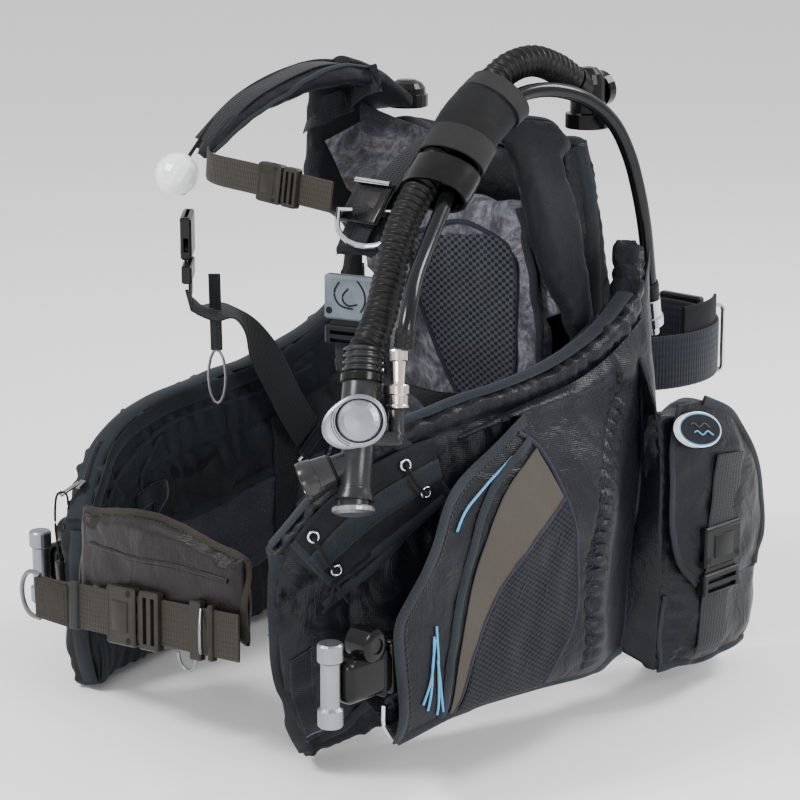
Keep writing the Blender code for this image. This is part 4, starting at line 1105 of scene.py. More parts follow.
# ------------------------------------------------------------------ harness webbing
WAIST_AT = (-0.0300, -0.2760, 0.1010)
WAIST_ALONG = Vector((1.0, -0.01, 0.10)).normalized()
CHEST_AT = (0.0200, -0.1560, 0.4485)
CHEST_ALONG = Vector((1.0, -0.03, -0.05)).normalized()
BUCKLES = {
    "waist_buckle": (WAIST_AT, WAIST_ALONG, (0, -1, 0.1), 0.038),
    "chest_buckle": (CHEST_AT, CHEST_ALONG, (0, -1, 0.1), 0.025),
    "shoulder_right_buckle": ((-0.1150, -0.1400, 0.3720), (0, 0, -1), (-0.7, -0.7, 0), 0.038),
    "shoulder_left_buckle": ((0.0855, -0.1420, 0.3460), (0, 0, -1), (0.3, -0.95, 0), 0.038),
    "trim_left_buckle": ((0.2525, 0.128, 0.118), (0, 0, -1), (1, 0, 0), 0.038),
    "trim_right_buckle": ((-0.2525, 0.170, 0.098), (0, 0, -1), (-1, 0, 0), 0.038),
}
BEHIND = 0.00165        # webbing runs this far behind a clip's middle plane


def frame_at(origin, x_axis, z_hint):
    x = Vector(x_axis).normalized()
    y = Vector(z_hint).cross(x).normalized()
    z = x.cross(y)
    matrix = Matrix((x, y, z)).transposed().to_4x4()
    matrix.translation = Vector(origin)
    return matrix


def clip_frame(name):
    origin, along, outward, _ = BUCKLES[name]
    return frame_at(at(*origin), along, outward)


def on_buckle(name, x, y=0.0, z=0.0):
    """Place along, across and out from a clip's middle."""
    return clip_frame(name) @ Vector((x, y, z))


def across_of(name):
    return clip_frame(name).to_3x3() @ Vector((0, 1, 0))


def clip_length(web):
    return web * 1.05 if web < 0.03 else web * 0.95


def web_out(name):
    web = BUCKLES[name][3]
    return web * 0.16 + 0.0068 if web > 0.03 else web * 0.16 + 0.0026


def web_in(name):
    return -clip_length(BUCKLES[name][3]) * 0.82


def straps():
    side = across_of("waist_buckle")
    name = "waist_buckle"
    line = [on_buckle(name, web_out(name) + (0.1220 - web_out(name)) * i / 12, 0, -BEHIND) for i in range(13)]
    stand_for(strap("waist_strap_left", line, side, 0.038, 0.0018, "web_olive"), "waist_web_left")
    entry = on_buckle(name, web_in(name))
    line = [entry, entry - WAIST_ALONG * 0.026, entry - WAIST_ALONG * 0.046 + Vector((0, 0.0005, 0)),
            at(-0.128, -0.2760, 0.0915), at(-0.1580, -0.2745, 0.0890)]
    stand_for(strap("waist_strap_right", line, [tuple(side), tuple(side), tuple(side), (0.08, 0, 1), (0.05, 0, 1)],
                    0.038, 0.0018, "web_olive"), "waist_web_right")
    name = "chest_buckle"
    side = across_of(name)
    line = [on_buckle(name, web_out(name) + (0.0560 - web_out(name)) * i / 6, 0, -BEHIND) for i in range(7)]
    stand_for(strap("chest_strap_left", line, side, 0.025, 0.0018, "web_olive"), "chest_web_left")
    entry = on_buckle(name, web_in(name))
    line = [entry, entry - CHEST_ALONG * 0.020, at(-0.060, -0.1530, 0.4520), at(-0.078, -0.1480, 0.4535),
            at(-0.089, -0.1390, 0.4555)]
    stand_for(strap("chest_strap_right", line, [tuple(side)] * 3 + [(0.1, 0, 1)] * 2, 0.025, 0.0018,
                    "web_olive"), "chest_web_right")
    low = (0.0, 0.77, 0.64)
    for word, sign, turn, run in (
            ("right", -1, (-0.3, 0.75, 0.45),
             ((-0.1170, -0.1180, 0.3200), (-0.1250, -0.0780, 0.3080), (-0.1400, -0.0290, 0.2620),
              (-0.1520, 0.0120, 0.2080), (-0.1585, 0.0400, 0.1740))),
            ("left", 1, (0.5, 0.75, 0.45),
             ((0.0930, -0.1180, 0.2940), (0.1100, -0.0780, 0.2760), (0.1330, -0.0290, 0.2350),
              (0.1480, 0.0120, 0.1950), (0.1570, 0.0400, 0.1740)))):
        name = "shoulder_" + word + "_buckle"
        first = across_of(name)
        if first.x * sign < 0:
            first = -first
        line = [on_buckle(name, x, 0, -BEHIND) for x in (web_out(name), 0.022, 0.034, 0.040)]
        line += [at(*p) for p in run]
        stand_for(strap("lower_strap_" + word, line, [tuple(first)] * 4 + [turn] + [low] * 4, 0.034, 0.0018,
                        "web_dark", step=0.003), "lower_web_" + word)
    points = []
    for i in range(60):
        angle = math.radians(-60 + 300 * i / 59)
        points.append(at(0.100 * math.cos(angle), 0.288 + 0.100 * math.sin(angle), 0.246))
    points += [at(x, y, 0.246) for x, y in ((-0.049, 0.188), (-0.048, 0.1750), (-0.046, 0.1712), (0.0, 0.1708),
                                            (0.046, 0.1712), (0.048, 0.1750), (0.049, 0.188))]
    section = strap_section(0.050, 0.0024)
    band = sweep("tank_strap", points, lambda i, n: section, "web_blue", ROOT, UP, by_side=True, closed=True,
                 angle=80)
    stand_for(band, "tank_band")
    line = [at(0.0965 * math.cos(a), 0.288 + 0.0965 * math.sin(a), 0.258)
            for a in [math.radians(-8 + 44 * i / 30) for i in range(31)]]
    flat = strap_section(0.074, 0.0034)
    sweep("tank_grip_pad", line, lambda i, n: flat, "neoprene", ROOT, UP, by_side=True, angle=80)


def hardware():
    looks = {"elbow_valve": "gloss_plastic", "shoulder_dump_valve": "gloss_plastic",
             "rear_dump_valve": "gloss_plastic", "dump_ball": "white",
             "inflate_button": "silver", "exhaust_button": "silver", "mouthpiece": "mouth_rubber",
             "lp_coupling": "copper_steel", "lp_collar": "copper_steel", "lp_fitting": "steel",
             "tank_buckle_lever": "gloss_plastic", "tank_buckle_pin": "steel", "tank_band_ring": "steel",
             "strap_ring": "steel", "chest_ring": "steel", "hem_ring": "steel", "waist_ring": "dark_steel",
             "pull_ring": "dark_steel", "weight_tbar_left": "silver", "weight_tbar_right": "silver",
             "belt_slide": "olive_plastic"}
    for node, obj in NODES.items():
        if obj.hide_render:
            continue
        key = looks.get(node, "black_plastic")
        if node.startswith(("waist_buckle", "chest_buckle")):
            key = "olive_plastic"
        if node.startswith("shoulder_left_buckle_female"):
            key = "pale_plastic"
        obj.data.materials.clear()
        obj.data.materials.append(MAT[key])


def clip_details():
    """Notches, raised panels and bars of the side release clips; the notches are black discs, painted shade in the
    cutouts.
    """
    for name, (_, _, _, web) in BUCKLES.items():
        material = "olive_plastic" if name.startswith(("waist", "chest")) else "black_plastic"
        if name == "shoulder_left_buckle":
            material = "pale_plastic"
        middle = clip_frame(name)
        long = clip_length(web)
        wide, thick = web * 1.28, max(0.0095, web * 0.24) / 2
        if name != "shoulder_left_buckle":
            lump(name + "_panel", (long * 0.56, wide * 0.52, 0.0016),
                 middle @ Matrix.Translation((-long * 0.50, 0, thick)), material, 0.0007)
        for k, side in enumerate((-1, 1)):
            # black disc: painted shade inside the notch cutout
            notch = middle @ Matrix.Translation((-long * 0.20, side * wide * 0.40, thick - 0.0010))
            spin(name + "_notch_%d" % k, [(0.0, -0.0020), (web * 0.075, -0.0020), (web * 0.075, 0.0012),
                                          (0.0, 0.0012)], notch, "cord_black", sides=20)
        lump(name + "_rim", (0.0026, wide * 0.94, 0.0014),
             middle @ Matrix.Translation((-long * 0.93, 0, thick * 0.92)), material, 0.0006)


# ------------------------------------------------------------------ small shapes
def lump(name, size, matrix, material, width=0.0012, body=ROOT, segments=3):
    bm = bmesh.new()
    bmesh.ops.create_cube(bm, size=1.0, matrix=Matrix.Diagonal((*size, 1)))
    bmesh.ops.bevel(bm, geom=bm.edges[:], offset=width, segments=segments, profile=0.5, affect="EDGES")
    bm.transform(matrix)
    return finish_mesh(name, bm, material, body, angle=40)


def spin(name, profile, matrix, material, body=ROOT, sides=28):
    """Solid of revolution about Z of the matrix; profile is (radius, height) pairs."""
    bm = bmesh.new()
    tube(bm, [[bm.verts.new(matrix @ Vector((x, y, height))) for x, y in circle(radius, sides)]
              for radius, height in profile])
    return finish_mesh(name, bm, material, body, angle=38)


def eyelet(name, place, out, cover):
    """Steel ring with a dark disc in its hole as painted shade; gives the point where a lace enters it."""
    radius = 0.0040
    hit, normal = cover.drop(place, out)
    matrix = frame_at(hit + normal * 0.0034, normal.orthogonal(), normal)
    line = [matrix @ Vector((x, y, 0.0004)) for x, y in circle(radius, 20)]
    ring = circle(0.0011, 8)
    sweep(name, line, lambda i, n: ring, "steel", ROOT, normal, closed=True)
    # dark disc inside the ring: painted shade in the eyelet's hole
    spin(name + "_hole", [(radius * 0.9, -0.0004), (radius * 0.9, 0.0003)], matrix, "cord_black", sides=14)
    return hit + normal * 0.0042


CORD = 0.0016           # radius of the thin cords


def free_cord(name, points, radius):
    """Free cord through the given points."""
    obj, line = cord(name, points, radius, "cord_black", step=0.003)


def loop_cord(name, start, end, out, rise):
    rise = Vector(out).normalized() * rise
    stops = [start, start.lerp(end, 0.2) + rise * 0.8, (start + end) / 2 + rise, start.lerp(end, 0.8) + rise * 0.8,
             end]
    free_cord(name, stops, CORD)


# ------------------------------------------------------------------ left side
def left_side():
    node = "weight_pocket_left"
    cover = Cover(COVER[node])
    out = Vector((1, 0, 0))
    tapes = (("pocket_edge", EDGE[1], 0.011, 0.0016, "binding"),
             ("pocket_hem", HEM[1], 0.008, 0.0016, "binding"),
             ("crescent_edge", [(0.455, 0.925), (0.205, 0.80), (0.060, 0.588), (-0.014, 0.30), (-0.030, 0.13)],
              0.0095, 0.0014, "binding"),
             ("crescent_piping", [(0.548, 0.735), (0.342, 0.612), (0.200, 0.482), (0.092, 0.320), (0.045, 0.20),
                                  (0.020, 0.135)], 0.0042, 0.0017, "piping"),
             ("mesh_piping", [(0.410, 0.955), (0.483, 0.904), (0.547, 0.742), (0.584, 0.5), (0.574, 0.326),
                              (0.500, 0.208), (0.45, 0.12)], 0.0042, 0.0018, "piping"),
             ("side_edge", [(1.00, 0.08), (1.015, 0.2), (1.045, 0.4), (1.10, 0.6), (1.13, 0.8), (1.14, 1.0)],
              0.010, 0.0016, "binding"))
    for name, stops, width, thick, material in tapes:
        binding(name, panel_line(1, stops), out, cover, width, thick, material)
    left = panel_line(1, [(0.470, 0.903), (0.235, 0.775), (0.090, 0.560), (0.014, 0.275), (0.000, 0.135)])
    right = panel_line(1, [(0.545, 0.730), (0.338, 0.612), (0.193, 0.482), (0.085, 0.320), (0.015, 0.134)])
    patch("crescent", left, right, out, cover, "taupe", lift=0.0007, thick=0.0007, taut=4)
    left = panel_line(1, [(0.548, 0.725), (0.345, 0.607), (0.203, 0.477), (0.098, 0.317), (0.06, 0.20),
                          (0.035, 0.132)])
    right = panel_line(1, [(0.552, 0.722), (0.582, 0.6), (0.582, 0.5), (0.572, 0.326), (0.50, 0.208),
                           (0.455, 0.115)])
    patch("mesh_pocket", left, right, out, cover, "speckle_mesh", lift=0.0006, thick=0.0007, taut=1,
          wrinkle=0.0010)
    for k, shift in enumerate((0.30, 0.62)):
        line = [a.lerp(b, shift) for a, b in zip(left, right)]
        binding("mesh_fold_%d" % k, line[3:20], out, cover, 0.0040, 0.0011, "speckle_mesh")
    line = panel_line(1, [(0.345, 0.893), (0.190, 0.828), (0.075, 0.762), (0.028, 0.715)], 0.0)
    tape = settle(even(line, 0.004), out, cover, 0.0012)
    cord("light_line", tape, 0.0011, "cord_blue", step=0.003, sides=8)
    fans = ([(-0.078, 0.440), (-0.070, 0.34), (-0.068, 0.25), (-0.060, 0.15)],
            [(-0.088, 0.410), (-0.090, 0.34), (-0.100, 0.27), (-0.128, 0.20)],
            [(-0.082, 0.400), (-0.094, 0.32), (-0.096, 0.25), (-0.105, 0.175)],
            [(-0.072, 0.330), (-0.062, 0.26), (-0.052, 0.20), (-0.036, 0.155)])
    for k, stops in enumerate(fans):
        tape = settle(even(panel_line(1, stops), 0.003), out, cover, 0.0011)
        cord("light_cord_%d" % k, tape, 0.0010, "cord_blue", step=0.003, sides=8)
    stitches("pocket_edge_stitch", panel_line(1, [(a + 0.03, b - 0.006) for a, b in EDGE[1]]), out, cover)
    stitches("gather_stitch", panel_line(1, [(a + 0.012, b) for a, b in GATHER[1]]), out, cover)

    # skins that carry the pocket panel over to the lobe and the corner pouch
    rear = panel_line(1, REAR[1], -0.001)
    low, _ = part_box("trim_pocket_left")
    corner = [Vector((x, low.y + 0.009, z)) for x, z in ((0.233, 0.034), (0.237, 0.09), (0.237, 0.15),
                                                        (0.236, 0.21), (0.228, 0.262), (0.205, 0.310))]
    mid = [Vector(catmull(rear, k / 5)).lerp(corner[k], 0.5) + Vector((0.002, 0, 0)) for k in range(6)]
    loft("pocket_rear_skin", [rear, mid, corner], "nylon", across=36, down=8, wrinkle=0.0012)
    behind = [lobe(1, 0.03, v, HALF_LOBE) for v in (0.05, 0.25, 0.45, 0.65, 0.85, 0.98)]
    loft("corner_skin", [corner, [a.lerp(b, 0.5) for a, b in zip(corner, behind)], behind], "nylon", across=36,
         down=8, wrinkle=0.0014)
    hem = panel_line(1, HEM[1], -0.001)
    under = [lobe(1, u, v, HALF_LOBE - 0.002) for u, v in ((0.86, 0.22), (0.70, 0.16), (0.5, 0.10), (0.3, 0.06),
                                                          (0.08, 0.05))]
    mid = [Vector(catmull(hem, k / 4)).lerp(under[k], 0.5) + Vector((0, 0, 0.003)) for k in range(5)]
    loft("pocket_hem_skin", [hem, mid, under], "nylon", across=40, down=10, wrinkle=0.0012)

    # knife panel: a folded flap laced to the lobe with two elastic cords
    body = Cover(COVER["left"])
    way = facing(1, 0.85, 0.8)
    spots = {"a": (0.913, 0.888), "b": (0.881, 0.700), "c": (0.769, 0.888), "d": (0.738, 0.788)}
    upper = [lobe(1, u, v, HALF_LOBE) for u, v in ((0.945, 0.945), (0.905, 0.955), (0.838, 0.94), (0.755, 0.935),
                                                   (0.715, 0.93))]
    lower = [lobe(1, u, v, HALF_LOBE) for u, v in ((0.885, 0.650), (0.845, 0.650), (0.795, 0.675), (0.730, 0.720),
                                                   (0.700, 0.745))]
    patch("knife_panel", upper, lower, way, body, "nylon_soft", lift=0.0016, thick=0.0014, taut=8,
          wrinkle=0.0008)
    knife = Cover(COVER["left"], bpy.data.objects["knife_panel"])
    binding("knife_edge_low", lower, way, knife, 0.007, 0.0015)
    binding("knife_edge_front", [upper[0], upper[0].lerp(lower[0], 0.5), lower[0]], way, knife, 0.007, 0.0014)
    band = [upper[k].lerp(lower[k], 0.34) for k in range(5)]
    band2 = [upper[k].lerp(lower[k], 0.66) for k in range(5)]
    patch("knife_band", band, band2, way, knife, "binding", lift=0.0010, thick=0.0010, taut=3)
    faced = Cover(COVER["left"], *[bpy.data.objects[n] for n in ("knife_panel", "knife_band", "knife_edge_low",
                                                                 "knife_edge_front")])
    for k, (one, two) in enumerate((("a", "b"), ("c", "d"))):
        first = eyelet("eyelet_%s" % one, lobe(1, *spots[one], HALF_LOBE), way, faced)
        last = eyelet("eyelet_%s" % two, lobe(1, *spots[two], HALF_LOBE), way, faced)
        loop_cord("lace_%d" % k, first, last, way + Vector((0, 0, -0.6)), 0.0085)
    for k, (u, v) in enumerate(((0.905, 0.60), (0.868, 0.575))):
        tip = lobe(1, u, v, HALF_LOBE + 0.006)
        start, _ = knife.drop(lobe(1, 0.885, 0.66, HALF_LOBE), way)
        cord("lace_end_%d" % k, [start + way * 0.002, start.lerp(tip, 0.5) + way * 0.006, tip], 0.0016,
             "cord_black", step=0.003)
    fold_a = [lobe(1, u, v, HALF_LOBE) for u, v in ((0.70, 0.74), (0.77, 0.66), (0.83, 0.61), (0.90, 0.60))]
    binding("knife_hem", fold_a, way, body, 0.0080, 0.0015)
    edges = (("front_edge", [(0.975, 0.96), (0.985, 0.75), (0.985, 0.5), (0.985, 0.25), (0.97, 0.06)]),
             ("neck_edge", [(0.80, 0.985), (0.769, 0.955), (0.731, 0.838), (0.694, 0.738)]))
    for name, stops in edges:
        outs = [tuple(facing(1, u, v)) for u, v in stops]
        binding(name, [lobe(1, u, v, HALF_LOBE) for u, v in stops], outs, body, 0.012, 0.0016)
    strip = [lobe(1, u, v, HALF_LOBE) for u, v in ((0.925, 0.50), (0.93, 0.34), (0.925, 0.14))]
    strip2 = [lobe(1, u, v, HALF_LOBE) for u, v in ((0.965, 0.50), (0.97, 0.34), (0.96, 0.14))]
    patch("front_velcro", strip, strip2, facing(1, 0.94, 0.3), body, "velcro", lift=0.0008, thick=0.0010)
    flap = [lobe(1, u, v, HALF_LOBE) for u, v in ((0.93, 0.08), (0.88, 0.10), (0.83, 0.17), (0.80, 0.26))]
    binding("flap_edge", flap, facing(1, 0.87, 0.2), body, 0.010, 0.0017)

    # rims of the lobe and the neck
    rim_line = [lobe(1, u, 1.0, 0.0) for u in (0.16, 0.3, 0.45, 0.6, 0.72, 0.84, 0.93, 0.985)]
    binding("left_rim", rim_line, UP, body, 0.016, 0.0022, lift=0.0010, calm=20)
    inner = [lobe(1, u, 0.96, -HALF_LOBE) for u in (0.18, 0.35, 0.5, 0.65, 0.8, 0.92)]
    outs = [tuple(-facing(1, u, 0.9)) for u in (0.18, 0.35, 0.5, 0.65, 0.8, 0.92)]
    binding("left_rim_inner", inner, outs, body, 0.012, 0.0018, calm=14)
    trim_pouch(1, "left")
    trim_pouch(-1, "right")
    weight_handles()


def trim_pouch(side, word):
    """Flap, patch, webbing and edges of a corner pouch."""
    node = "trim_pocket_" + word
    cover = Cover(COVER[node])
    out = Vector((side, 0.15, 0)).normalized()

    def line(stops):
        return [spot(node, side, *catmull(stops, i / 15)) for i in range(16)]

    left = line([(0.150, 1.0), (0.100, 0.85), (0.105, 0.66), (0.130, 0.50), (0.170, 0.40), (0.26, 0.335)])
    right = line([(0.300, 1.0), (0.560, 0.90), (0.720, 0.72), (0.790, 0.55), (0.800, 0.42), (0.74, 0.330)])
    flap = patch(node + "_flap", left, right, out, cover, "nylon", lift=0.0034, thick=0.0016, taut=5,
                 wrinkle=0.0030, swell=0.003)
    both = Cover(COVER[node], flap)
    binding(node + "_flap_left", left, out, both, 0.008, 0.0016)
    binding(node + "_flap_right", right, out, both, 0.009, 0.0016)
    binding(node + "_flap_foot", [left[-1], spot(node, side, 0.50, 0.318), right[-1]], out, both, 0.007, 0.0015)
    hit, normal = both.drop(spot(node, side, 0.225, 0.905), out)
    tilt = Vector((0, 1, -0.20)).normalized()
    matrix = frame_at(hit + normal * 0.0034, tilt, normal)
    for name, a, b, high, material in (("_patch_rim", 0.0300, 0.0150, 0.0010, "white"),
                                       ("_patch_line", 0.0288, 0.0139, 0.0013, "cord_blue"),
                                       ("_patch", 0.0272, 0.0126, 0.0017, "cord_black")):
        bm = bmesh.new()
        tube(bm, [[bm.verts.new(matrix @ Vector((x, y, z))) for x, y in ellipse(a, b, 36)]
                  for z in (-0.004, high)])
        finish_mesh(node + name, bm, material, smooth=False)
    for k, (start, height, material) in enumerate(((-0.014, 0.0035, "thread"), (-0.010, -0.0030, "cord_blue"))):
        wave = [matrix @ Vector((start + 0.026 * i / 12, height + 0.0016 * math.sin(i * 0.9), 0.0022))
                for i in range(13)]
        cord(node + "_mark_%d" % k, wave, 0.0007, material, step=0.002, sides=6)
    name = "trim_" + word + "_buckle"
    for part, leaves, share, slant in (("upper", web_in(name) + 0.002, 0.80, 0.004),
                                       ("lower", web_out(name), 0.06, -0.004)):
        start, end = on_buckle(name, leaves), spot(node, side, 0.0, share)
        end.y = start.y + slant
        path = [start]
        for k in range(1, 9):
            p = both.drop(start.lerp(end, k / 8), out)[0] + out * 0.0016
            path.append(p.lerp(Vector((start.x, p.y, p.z)), max(0.0, 1 - k / 3)))
        strap(node + "_web_" + part, path, Vector((0, 1, 0)), 0.0375, 0.0017, "web_grey")
    seam = line([(0.12, 0.30), (0.085, 0.18), (0.10, 0.05)])
    binding(node + "_gusset", seam, out, cover, 0.006, 0.0014)
    foot = line([(0.06, 0.02), (0.3, 0.015), (0.6, 0.015), (0.80, 0.02)])
    binding(node + "_foot", foot, out, cover, 0.008, 0.0016)


def weight_handles():
    """Moulded grips of the ballast pouches; they slide with the pouches."""
    for side, word, front, height in ((1, "left", -0.200, 0.118), (-1, "right", -0.115, 0.090)):
        body = "weight_" + word + "_body"
        place = Matrix.Translation(at(side * 0.2255, front, height))
        lump("grip_" + word, (0.0200, 0.1040, 0.0370), place @ Matrix.Translation((0, -0.0460, -0.0010)),
             "gloss_plastic", 0.0085, body, 5)
        lump("grip_collar_" + word, (0.0226, 0.0240, 0.0440), place @ Matrix.Translation((0, -0.0420, 0.0010)),
             "gloss_plastic", 0.0050, body, 4)
        lump("grip_rim_" + word, (0.0216, 0.0060, 0.0390), place @ Matrix.Translation((0, -0.0590, -0.0010)),
             "black_plastic", 0.0028, body, 3)
        spin("grip_hub_" + word, [(0.0, -0.0120), (0.0090, -0.0120), (0.0122, -0.0104), (0.0127, 0.0100),
                                  (0.0100, 0.0118), (0.0062, 0.0120), (0.0056, 0.0104), (0.0, 0.0102)],
             place @ Matrix.Translation((0, -0.0700, 0.0230)) @ Matrix.Rotation(math.pi / 2, 4, "Y"),
             "gloss_plastic", body)
        pouch = lump("ballast_pouch_" + word, (0.0224, 0.1640, 0.0790), place @ Matrix.Translation((0, 0.0825, 0)),
                     "nylon", 0.0080, body, 5)
        stand_for(pouch, "weight_pouch_" + word)


# ------------------------------------------------------------------ right side
def right_side():
    body = Cover(COVER["right"])

    def inner(u, v, off=0.0):
        return lobe(-1, u, v, -HALF_LOBE - off)

    def outs(stops):
        return [tuple(-facing(-1, u, v)) for u, v in stops]

    tapes = (("right_edge", [(0.16, 0.965), (0.35, 0.965), (0.55, 0.965), (0.72, 0.965), (0.86, 0.965), (0.955, 0.93),
                             (0.975, 0.75), (0.975, 0.5), (0.97, 0.25), (0.96, 0.06)], 0.015, 0.0018, "binding"),
             ("right_seam", [(0.93, 0.60), (0.92, 0.735), (0.88, 0.80), (0.781, 0.850), (0.644, 0.885), (0.55, 0.90),
                             (0.363, 0.885), (0.22, 0.87)], 0.0045, 0.0016, "binding"),
             ("lining_top", [(0.62, 0.513), (0.50, 0.535), (0.40, 0.55), (0.30, 0.555), (0.20, 0.55)],
              0.011, 0.0015, "binding"))
    for name, stops, width, thick, material in tapes:
        line = [inner(*catmull(stops, i / 29)) for i in range(30)]
        ways = outs([catmull(stops, i / 29) for i in range(30)])
        binding(name, line, ways, body, width, thick, material, calm=8)
    rim = [lobe(-1, u, 1.0, 0.0) for u in (0.10, 0.25, 0.4, 0.55, 0.7, 0.83, 0.93, 0.985)]
    binding("right_rim", rim, UP, body, 0.020, 0.0030, lift=0.0012, calm=24)
    front = [lobe(-1, 1.0, v, 0.0) for v in (0.96, 0.8, 0.6, 0.4, 0.2, 0.05)]
    binding("right_front_rim", front, Vector((0.1, -1, 0.1)), body, 0.020, 0.0026, lift=0.0010, calm=20)
    lining = [inner(u, v) for u, v in ((0.62, 0.500), (0.50, 0.52), (0.40, 0.535), (0.30, 0.54), (0.20, 0.54))]
    low = [inner(u, v) for u, v in ((0.62, 0.20), (0.50, 0.20), (0.40, 0.22), (0.30, 0.24), (0.20, 0.28))]
    patch("right_mesh_lining", lining, low, -facing(-1, 0.45, 0.4), body, "mesh_lining", lift=0.0014,
          thick=0.0010, wrinkle=0.0016)
    both = Cover(COVER["right"], bpy.data.objects["right_mesh_lining"])
    web = [inner(0.285, v) for v in (0.76, 0.65, 0.52, 0.38, 0.28)]
    web2 = [inner(0.355, v) for v in (0.76, 0.65, 0.52, 0.38, 0.28)]
    patch("right_keeper_web", web, web2, -facing(-1, 0.32, 0.5), both, "web_dark", lift=0.0016, thick=0.0014)
    # a thin black strip on the lining is painted shade inside the slot opening
    slot = [inner(u, v, 0.0004) for u, v in ((0.615, 0.705), (0.59, 0.68), (0.555, 0.675), (0.53, 0.69),
                                            (0.505, 0.715))]
    binding("right_slot", slot, -facing(-1, 0.56, 0.7), body, 0.0085, 0.0007, "cord_black", lift=0.0002)
    hook = [inner(u, v) for u, v in ((0.74, 0.70), (0.64, 0.69), (0.635, 0.62))]
    hook2 = [inner(u, v) for u, v in ((0.74, 0.63), (0.68, 0.62), (0.68, 0.55))]
    patch("right_velcro", hook, hook2, -facing(-1, 0.69, 0.65), body, "velcro", lift=0.0008, thick=0.0010)
    line = [inner(u, v) for u, v in ((0.735, 0.61), (0.71, 0.72), (0.675, 0.80), (0.64, 0.86))]
    binding("right_vertical_seam", line, -facing(-1, 0.69, 0.7), body, 0.0035, 0.0012, "binding")

    # zip, slider, cord loop and toggle at the front corner
    place = [lobe(-1, u, 1.0, 0.0) + Vector((0, 0, 0.0030)) for u in (0.82, 0.85, 0.88, 0.91)]
    path = settle(even(place, 0.004), UP, Cover(COVER["right"], bpy.data.objects["right_rim"]), 0.0006)
    strap("zip_tape", path, (1, 0.3, 0), 0.0050, 0.0020, "velcro")
    end = path[-1]
    lump("zip_slider", (0.009, 0.0065, 0.0040), frame_at(end + Vector((0, -0.004, 0.002)), (0, -1, -0.5), UP),
         "dark_steel", 0.001)
    way = Vector((-0.25, -0.97, 0))
    a, b = end + Vector((-0.002, -0.008, 0.002)), end + Vector((-0.006, -0.018, -0.004))
    lump("zip_tab", (0.020, 0.0052, 0.0024), frame_at((a + b) / 2, b - a, UP), "dark_steel", 0.0008)
    top, low_end = b + Vector((0, -0.002, -0.002)), b + Vector((-0.002, -0.004, -0.060))
    across = Vector((0.7, 0.7, 0)) * 0.0050
    loop = [low_end, low_end.lerp(top, 0.5) + across, top + across * 0.9, top - across * 0.9,
            low_end.lerp(top, 0.5) - across, low_end]
    cord("zip_loop", loop, 0.0010, "cord_black", step=0.003, sides=8)
    lump("zip_toggle", (0.028, 0.0095, 0.0065), frame_at(low_end + Vector((0, 0, -0.014)), (0.05, 0.05, -1), way),
         "rubber", 0.002)

    cummerbund_edges()
    belt_details()


def cummerbund_edges():
    def place(u, v):
        x0, x1, y, low, high = CUMMERBUND
        bow = math.sin(math.pi * u)
        top = high + 0.018 * bow
        return at(x0 + (x1 - x0) * u, y - 0.004 * bow, low + (top - low) * v)

    cover = Cover(COVER["cummerbund"])
    out = Vector((0, -1, 0))
    top = [place(i / 12, 0.955) for i in range(13)]
    binding("cummerbund_top", top, out, cover, 0.0110, 0.0016, "olive_tape")
    stitches("cummerbund_stitch", [p + Vector((0, 0, -0.0036)) for p in top], out, cover)
    side = [place(0.985, v) for v in (0.97, 0.7, 0.4, 0.1)]
    binding("cummerbund_side", side, out, cover, 0.0095, 0.0018, "olive_tape")
    side = [place(0.015, v) for v in (0.97, 0.7, 0.4, 0.1)]
    binding("cummerbund_left_side", side, out, cover, 0.0080, 0.0015, "satin")
    fold = [place(u, v) for u, v in ((0.10, 0.62), (0.35, 0.55), (0.62, 0.60), (0.92, 0.70))]
    binding("cummerbund_fold", fold, out, cover, 0.0045, 0.0009, "satin")


CUMMERBUND = (-0.122, 0.086, -0.256, 0.098, 0.172)


def belt_details():
    """Stitched D-ring tab, second slide, keeper loops and the small ring under the belt."""
    name = "waist_buckle"
    tab = frame_at(at(-0.1405, -0.2775, 0.0898), (1, 0.01, 0.02), (0, -1, 0))
    lump("ring_tab", (0.044, 0.036, 0.0032), tab, "olive_tape", 0.0012)
    for k, y in enumerate((-0.0150, 0.0150)):
        line = [tab @ Vector((-0.018 + 0.036 * i / 12, y, 0.0016)) for i in range(13)]
        stitches("ring_tab_stitch_%d" % k, line, tab.to_3x3() @ Vector((0, 0, 1)), None)
    for k, x in enumerate((-0.012, 0.0175)):
        line = [tab @ Vector((x, -0.0150 + 0.030 * i / 9, 0.0016)) for i in range(10)]
        stitches("ring_tab_cross_%d" % k, line, tab.to_3x3() @ Vector((0, 0, 1)), None)
    keeper = frame_at(on_buckle(name, -0.0830, 0, 0.0004), WAIST_ALONG, (0, -1, 0.1))
    lump("belt_keeper", (0.012, 0.0405, 0.0058), keeper, "web_grey", 0.0020)
    keeper = frame_at(on_buckle(name, 0.0900, 0, -BEHIND), WAIST_ALONG, (0, -1, 0.1))
    lump("belt_keeper_left", (0.0060, 0.0455, 0.0070), keeper, "olive_plastic", 0.0018)
    base = on_buckle(name, 0.060, -0.019, 0.0)
    if base.z > on_buckle(name, 0.060).z:
        base = on_buckle(name, 0.060, 0.019, 0.0)
    line = [base + Vector((0.0105 * math.cos(a), 0.001, -0.003 + 0.013 * math.sin(a)))
            for a in [math.pi + math.pi * i / 14 for i in range(15)]]
    cord("belt_ring", line, 0.0014, "dark_steel", step=0.002, sides=10)
    loop = [on_buckle(name, x, y, z) for x, y, z in ((0.078, -0.018, 0.0005), (0.084, -0.010, 0.0060),
                                                     (0.085, 0.004, 0.0070), (0.079, 0.018, 0.0005))]
    cord("slide_loop", loop, 0.0014, "dark_steel", step=0.003, sides=8)


